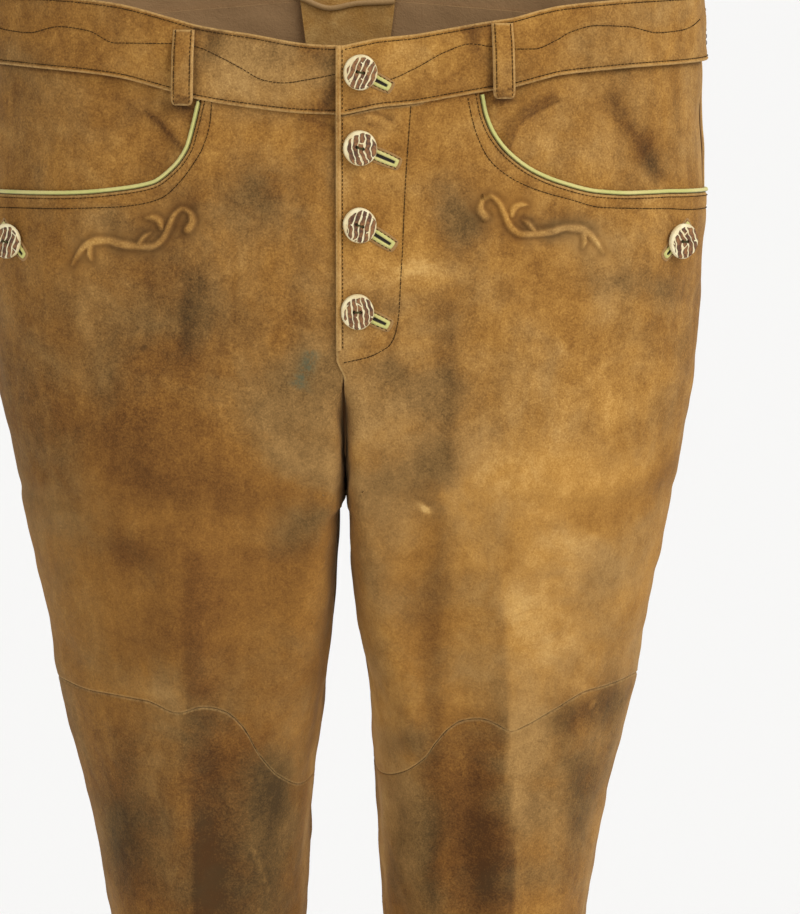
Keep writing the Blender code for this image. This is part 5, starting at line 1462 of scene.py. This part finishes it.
def pocketPiping(side):
    mouth = seams["mouth_" + side]
    dense = np.linspace(mouth[0][0], 1.0, 900)
    drops = curveThrough(mouth, dense)
    run = np.concatenate([[0.0], np.cumsum(np.hypot(np.diff(dense * quarter), np.diff(drops)))])
    where = np.arange(0.0, run[-1], piping["step"])
    stops = np.interp(where, run, dense)
    spots = np.stack([stops * quarter, curveThrough(mouth, stops)], axis=1)
    along = np.gradient(spots, axis=0)
    along /= np.linalg.norm(along, axis=1)[:, None]
    around = np.clip(stops - along[:, 1] * piping["fromEdge"] / quarter, 0.0, 0.992)
    under = bandSeam(side, stops) - piping["underBand"]
    height = np.minimum(spots[:, 1] + along[:, 0] * piping["fromEdge"], under)
    keep = np.concatenate([[True], np.diff(around) > 1e-5])
    around, height = around[keep], height[keep]
    count = np.arange(len(around))
    radius = piping["radius"] * (1 + piping["wrinkle"] * np.sin(count * 1.9) * np.sin(count * 0.37))
    centres, normals = skin(side, around, height, -seamGap), outward(side, around, height)
    panelSide = 1 if side == "left" else -1
    made = roundStrip("green_piping_" + side, centres, normals, radius, radius, 14, panelSide)
    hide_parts("pocket_piping_" + side)
    return made


lace = {"width": 0.0017, "height": 0.0009, "step": 24,
        "outside": ((-0.027, 0.012), (0.027, -0.008), (-0.027, -0.026), (0.0216, -0.044), (0.0, -0.052),
                    (-0.012, -0.075)),
        "inside": ((-0.027, -0.006), (-0.010, -0.012), (0.006, -0.009), (0.027, -0.008))}


def backLace(where, lift):
    stops = np.array(lace[where], float)
    steps = np.linspace(0, len(stops) - 1, (len(stops) - 1) * lace["step"] + 1)
    x = curveThrough(list(enumerate(stops[:, 0])), steps)
    height = curveThrough(list(enumerate(stops[:, 1])), steps)
    centres = skin("left", 2.0 - np.abs(x) / quarter, height, lift, (), False)
    normals = outward("left", 2.0 - np.abs(x) / quarter, height)
    turned = np.where(x < 0, -1.0, 1.0)
    centres[:, 0] *= turned
    normals[:, 0] *= turned
    keep = np.concatenate([[True], np.linalg.norm(np.diff(centres, axis=0), axis=1) > 1e-5])
    made = roundStrip("leather_lace_" + where, centres[keep], normals[keep], lace["width"], lace["height"])
    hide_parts("back_lace_" + where)
    return made


# ---- bound buttonholes
holes = {"width": 0.0070, "columns": 64,
         "profile": (    # out from the slit, and rise
             (0.00005, -0.0002), (0.0004, -0.0002), (0.00075, -0.0001), (0.0009, 0.0005), (0.0012, 0.0009),
             (0.0016, 0.00112), (0.0021, 0.00112), (0.0025, 0.0009), (0.0028, 0.0005), (0.0031, 0.00010),
             (0.0034, 0.00028), (0.0039, 0.00034), (0.0043, 0.00022), (0.0046, -0.0001), (0.0046, -0.0003))}
# number, out from the centre front, height, reach and slant in degrees
flyHoles = ((1, 0.0093, -0.0397, 0.0190, -28), (2, 0.0090, -0.0828, 0.0230, -24),
            (3, 0.0087, -0.1270, 0.0225, -34), (4, 0.0073, -0.1771, 0.0195, -26))
holeLength, pocketHoleLength, pocketHoleSlant = 0.0225, 0.0290, math.radians(40)
pocketButtonPlace = (0.768, -0.1405)


def buttonHole(name, node, side, around, height, slant, length, lift):
    count = holes["columns"]
    angle = (np.arange(count) + 0.5) / count * math.tau
    sine, cosine = np.sin(angle), np.cos(angle)
    half, rise = (np.array(column)[:, None] for column in zip(*holes["profile"]))
    straightPart = (length - holes["width"]) / 2
    squared = np.where(cosine > 0, 0.62, 0.9)       # the outer end is cut nearly square
    u = straightPart * np.clip(1.4 * cosine, -1, 1) + half * np.sign(cosine) * np.abs(cosine) ** squared
    v = half * np.sign(sine) * np.abs(sine) ** squared
    ripple = 0.00008 * np.sin(u * 2600.0 + 3 * np.sign(v)) * (rise > 0.0006)
    turnedU = u * math.cos(slant) - v * math.sin(slant)
    turnedV = u * math.sin(slant) + v * math.cos(slant)
    points = skin(side, around + turnedU / quarter, height + turnedV, lift + rise + ripple + 0 * turnedU)
    # slit marks the lips' inner edges, which the trim finish paints near black as painted shadow in the
    # slit
    made = setMesh(name, points, ringFaces(len(half), count),
                   {"slit": np.repeat(1 - smooth(0.0008, 0.0011, half[:, 0]), count),
                    "frame": np.repeat(smooth(0.0029, 0.0031, half[:, 0]), count)})
    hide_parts(node)
    run = np.linspace(-0.30, 0.46, 5) * length
    for across in (-0.0030, 0.0030):
        places = around + (run * math.cos(slant) - across * math.sin(slant)) / quarter
        heights = height + run * math.sin(slant) + across * math.cos(slant)
        sewRow("front", side, level(places, heights), lift + 0.00020)
    return made


# ---- horn buttons, each cut from its own piece of antler
buttons = {"radius": 0.0100, "thick": 0.0040, "holeOut": 0.0019, "holeRadius": 0.0009, "holeDepth": 0.0016,
           "ridge": 0.00030, "rings": 44, "columns": 112,
           "lean": math.radians(18), "hang": 0.0024, "above": 0.0015, "strand": 0.00028,
           "rim": ((0.955, 0.80), (0.975, 0.70), (0.992, 0.56), (1.0, 0.40), (0.985, 0.22), (0.95, 0.08),
                   (0.88, 0.0), (0.70, 0.0))}


def frameAt(side, around, height, lift):
    centre = Vector(skin(side, around, height, lift)[0])
    normal = Vector(outward(side, around, height)[0])
    after, before = (Vector(bareSkin(side, around + step, height)[0]) for step in (0.01, -0.01))
    out = after - before
    out = (out - normal * out.dot(normal)).normalized()
    up = normal.cross(out) if side == "left" else out.cross(normal)
    across = out if side == "left" else -out
    turned = Matrix((across, up, normal)).transposed().to_4x4()
    turned.translation = centre
    return turned


# 1 on the dark ridges and 0 in the pale veins, over a button of unit radius
def antlerGrain(p, q, seed):
    chance = np.random.default_rng(seed)
    start = chance.random(8) * math.tau
    pitch, lean = 2.5 + 0.7 * chance.random(), (chance.random() - 0.5) * 0.7
    wave = (0.20 * np.sin(2.3 * q + start[0]) + 0.09 * np.sin(5.3 * q + 1.6 * p + start[1])
            + 0.045 * np.sin(14.7 * q - 5.3 * p + start[2]))
    line = (p + lean * q) * pitch + wave * (1.0 + 0.4 * np.sin(2 * p + start[3]))
    nearVein = np.abs(line - np.rint(line))
    column = np.rint(line)
    swelling = 0.5 + 0.5 * np.sin(3.1 * q + 4.0 * column + start[4])
    width = 0.04 + 0.11 * swelling * (0.4 + 0.6 * np.sin(5.1 * q + 2.0 * column + start[5]) ** 2)
    bark = smooth(width, width + 0.09, nearVein)
    cross = np.abs(np.sin(1.9 * q + 1.7 * np.rint(line + 0.5) + 0.6 * np.sin(3 * p + start[6]) + start[7]))
    bark = bark * (1 - 0.9 * (1 - smooth(0.03, 0.12, cross)) * (np.sin(7 * p + start[3]) > 0.0))
    radius, angle = np.hypot(p, q), np.arctan2(q, p)
    rim = (0.93 - 0.17 * np.clip(np.cos(angle - 2.5), -0.2, 1) + 0.03 * np.sin(5 * angle + start[1])
           + 0.02 * np.sin(11 * angle + start[2]))
    return bark * (1 - smooth(rim - 0.04, rim + 0.02, radius))


def hornButton(name, node, side, around, height, lift, lean, seed):
    radius, thick, count = buttons["radius"], buttons["thick"], buttons["columns"]
    top = np.linspace(0.012, 0.93, buttons["rings"])
    share = np.concatenate([top, [r for r, z in buttons["rim"]]])
    crown = thick * (1.0 - 0.12 * top ** 2 - 0.04 * top ** 6)
    crown = np.concatenate([crown, [thick * z * 0.99 for r, z in buttons["rim"]]])
    angle = (np.arange(count) + 0.5) / count * math.tau
    p, q = share[:, None] * np.cos(angle), share[:, None] * np.sin(angle)
    isTop = (np.arange(len(share)) < len(top) + 2)[:, None]
    bark = antlerGrain(p, q, seed) * isTop
    chance = np.random.default_rng(seed)
    holeTurn = math.radians(-20 + 20 * chance.random())
    nearHole = np.inf
    for out in (-buttons["holeOut"], buttons["holeOut"]):
        far = np.hypot(p * radius - out * math.cos(holeTurn), q * radius - out * math.sin(holeTurn))
        nearHole = np.minimum(nearHole, far)
    hole = (1 - smooth(buttons["holeRadius"] * 0.6, buttons["holeRadius"] * 1.15, nearHole)) * isTop
    rough = 0.00005 * np.sin(37 * p + 3 * q + seed) * np.sin(29 * q - 11 * p)
    z = crown[:, None] + buttons["ridge"] * (bark - 0.6) * isTop + rough * isTop
    z = np.maximum(z - hole * buttons["holeDepth"], 0.0)
    outline = 1 + 0.012 * np.sin(2 * angle + seed) + 0.006 * np.sin(5 * angle + 2 * seed)
    local = np.stack([p * radius * outline * 0.965, q * radius * outline * 1.03, z], axis=-1).reshape(-1, 3)
    tip = -lean if side == "left" else lean
    place = np.array(frameAt(side, around, height, lift) @ Matrix.Rotation(tip, 4, "Y"))
    points = local @ place[:3, :3].T + place[:3, 3]
    made = setMesh(name, points, ringFaces(len(share), count),
                   {"bark": bark.ravel(), "hole": hole.ravel()})
    made.data.materials.append(horn)
    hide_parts(node)
    # the thread that holds it, in two strands between the holes
    t = np.linspace(-1, 1, 13)
    rise = thick + 0.00035 - 0.0013 * np.abs(t) ** 5
    for strand in (-buttons["strand"], buttons["strand"]):
        bar = np.stack([t * buttons["holeOut"], 0 * t + strand, rise], axis=1)
        turned = bar @ np.array(Matrix.Rotation(holeTurn, 3, "Z")).T
        centres = turned @ place[:3, :3].T + place[:3, 3]
        normals = np.repeat(place[:3, 2][None, :], len(t), axis=0)
        buttonThreads.append((centres, normals))
    return made


def hornLook():
    look = Look("stag_horn_button", 0.42, Specular_IOR_Level=0.45)
    look.shader.inputs["Coat Roughness"].default_value = 0.35
    fine = look.noise(700.0, 3.0, 0.6)
    cloud = look.noise(160.0, 2.0)
    bark, hole = look.mark("bark"), look.mark("hole")
    cream = look.blend(cloud.smooth(0.3, 0.7), (0.80, 0.71, 0.45), (0.68, 0.54, 0.29))
    speckle = (fine * 0.5 + cloud * 0.6).smooth(0.42, 0.66)
    dark = look.blend(speckle, (0.075, 0.028, 0.009), (0.27, 0.115, 0.034))
    dark = look.blend(bark.smooth(0.75, 1.0), (0.035, 0.014, 0.005), dark)
    colour = look.blend(bark.smooth(0.25, 0.8), cream, dark)
    # the drilled holes are painted near black: painted shadow in the holes
    look.colour(look.blend(hole, colour, (0.02, 0.012, 0.006)))
    look.feed(look.shader.inputs["Roughness"], bark * 0.25 + 0.34)
    look.bump(fine * 0.5 + cloud * 0.5, 0.0003, 0.4)
    return look.material


def greenLook():
    look = Look("green_trim_leather", 0.7, Sheen_Weight=0.15, Specular_IOR_Level=0.3)
    fine = look.noise(900.0, 3.0, 0.6)
    cloud = look.noise(60.0, 3.0)
    colour = look.blend(cloud.smooth(0.3, 0.7), (0.50, 0.49, 0.155), (0.60, 0.53, 0.20))
    colour = look.blend(fine.smooth(0.45, 0.8) * 0.35, colour, (0.38, 0.34, 0.11))
    # the side of the piping turned towards the panel is painted darker green: painted shade
    colour = look.blend(look.mark("turned").smooth(0.25, 0.80), colour, (0.20, 0.19, 0.045))
    # the slit is painted near black: painted shadow between the lips
    look.colour(look.blend(look.mark("frame"), look.blend(look.mark("slit"), colour, (0.020, 0.012, 0.006)),
                           look.blend(fine, (0.36, 0.20, 0.06), (0.25, 0.13, 0.04))))
    look.bump(fine, 0.0003, 0.5)
    return look.material


def laceLook():
    look = Look("lace_leather", 0.6, Specular_IOR_Level=0.35)
    fine = look.noise(800.0, 3.0)
    look.colour(look.blend(fine, (0.30, 0.17, 0.06), (0.44, 0.27, 0.11)))
    look.bump(fine, 0.0003, 0.5)
    return look.material


horn, greenLeather, laceLeather = hornLook(), greenLook(), laceLook()
buttonThreads = []
trims = []      # piece, its slot and its material
for side in sides:
    trims.append((pocketPiping(side), "piping_leather", greenLeather))
trims.append((backLace("outside", layer + seamGap + 0.0011), "lace_leather", laceLeather))
trims.append((backLace("inside", -2 * layer - 2 * seamGap - 0.0011), "lace_leather", laceLeather))
hornPieces = []
for number, out, height, reach, slantDegrees in flyHoles:
    onBand = layer if number == 1 else 0.0
    slant = math.radians(slantDegrees)
    shift = reach - holeLength / 2
    made = buttonHole("bound_hole_%d" % number, "fly_buttonhole_%d" % number, "left",
                      (out + shift * math.cos(slant)) / quarter, height + shift * math.sin(slant),
                      slant, holeLength, onBand + seamGap)
    trims.append((made, "piping_leather", greenLeather))
    hornPieces.append(hornButton("horn_button_%d" % number, "fly_button_%d" % number, "left",
                                 out / quarter, height, onBand + buttons["above"], 0.0, number))
for side in sides:
    around, height = pocketButtonPlace
    made = buttonHole("bound_hole_pocket_" + side, "pocket_buttonhole_" + side, side, around, height,
                      pocketHoleSlant, pocketHoleLength, seamGap)
    trims.append((made, "piping_leather", greenLeather))
    hornPieces.append(hornButton("horn_button_pocket_" + side, "pocket_button_" + side, side,
                                 around, height, buttons["above"] + buttons["hang"], buttons["lean"],
                                 5 if side == "left" else 6))
for made, slotName, finish in trims:
    made.data.materials.append(finish)
    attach(made, "root")
for made in hornPieces:
    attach(made, "root")
print("piping, lace, buttonholes and horn buttons made")

seamThread = threadLook("dark_thread", (0.040, 0.021, 0.008))
buttonThread = threadLook("button_thread", (0.085, 0.075, 0.028))
rowsTree = stitchTree()
for name, thread, spacing in (("stitches_front", "front", "fine"), ("stitches_far", "far", "coarse")):
    made = sew(name, threads[thread], spacing, seamThread, rowsTree)
    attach(made, "root")
    print(name, len(made.data.polygons), "faces")
for k, (centres, normals) in enumerate(buttonThreads):
    made = roundStrip("button_thread_%d" % (k + 1), centres, normals, 0.00026, 0.00026, 8)
    made.data.materials.append(buttonThread)
    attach(made, "root")
print("sewn:", sum(len(rows) for rows in threads.values()), "rows")

# ---- the suede pieces on the root body, and the floor
for piece in suedePieces:
    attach(piece, "root")

floor = bpy.data.meshes.new("floor")
half = lighting["floorSize"] / 2
soleLevel = cadBox[0][2] - 0.001
corners = [(x * half, y * half, soleLevel) for x, y in ((-1, -1), (1, -1), (1, 1), (-1, 1))]
floor.from_pydata(corners, [], [(0, 1, 2, 3)])
floorPiece = bpy.data.objects.new("floor", floor)
bpy.context.scene.collection.objects.link(floorPiece)
floorLook = Look("pale_floor", 0.9)
floorLook.colour((lighting["floorShade"],) * 3)
floor.materials.append(floorLook.material)

print("ready to finish")
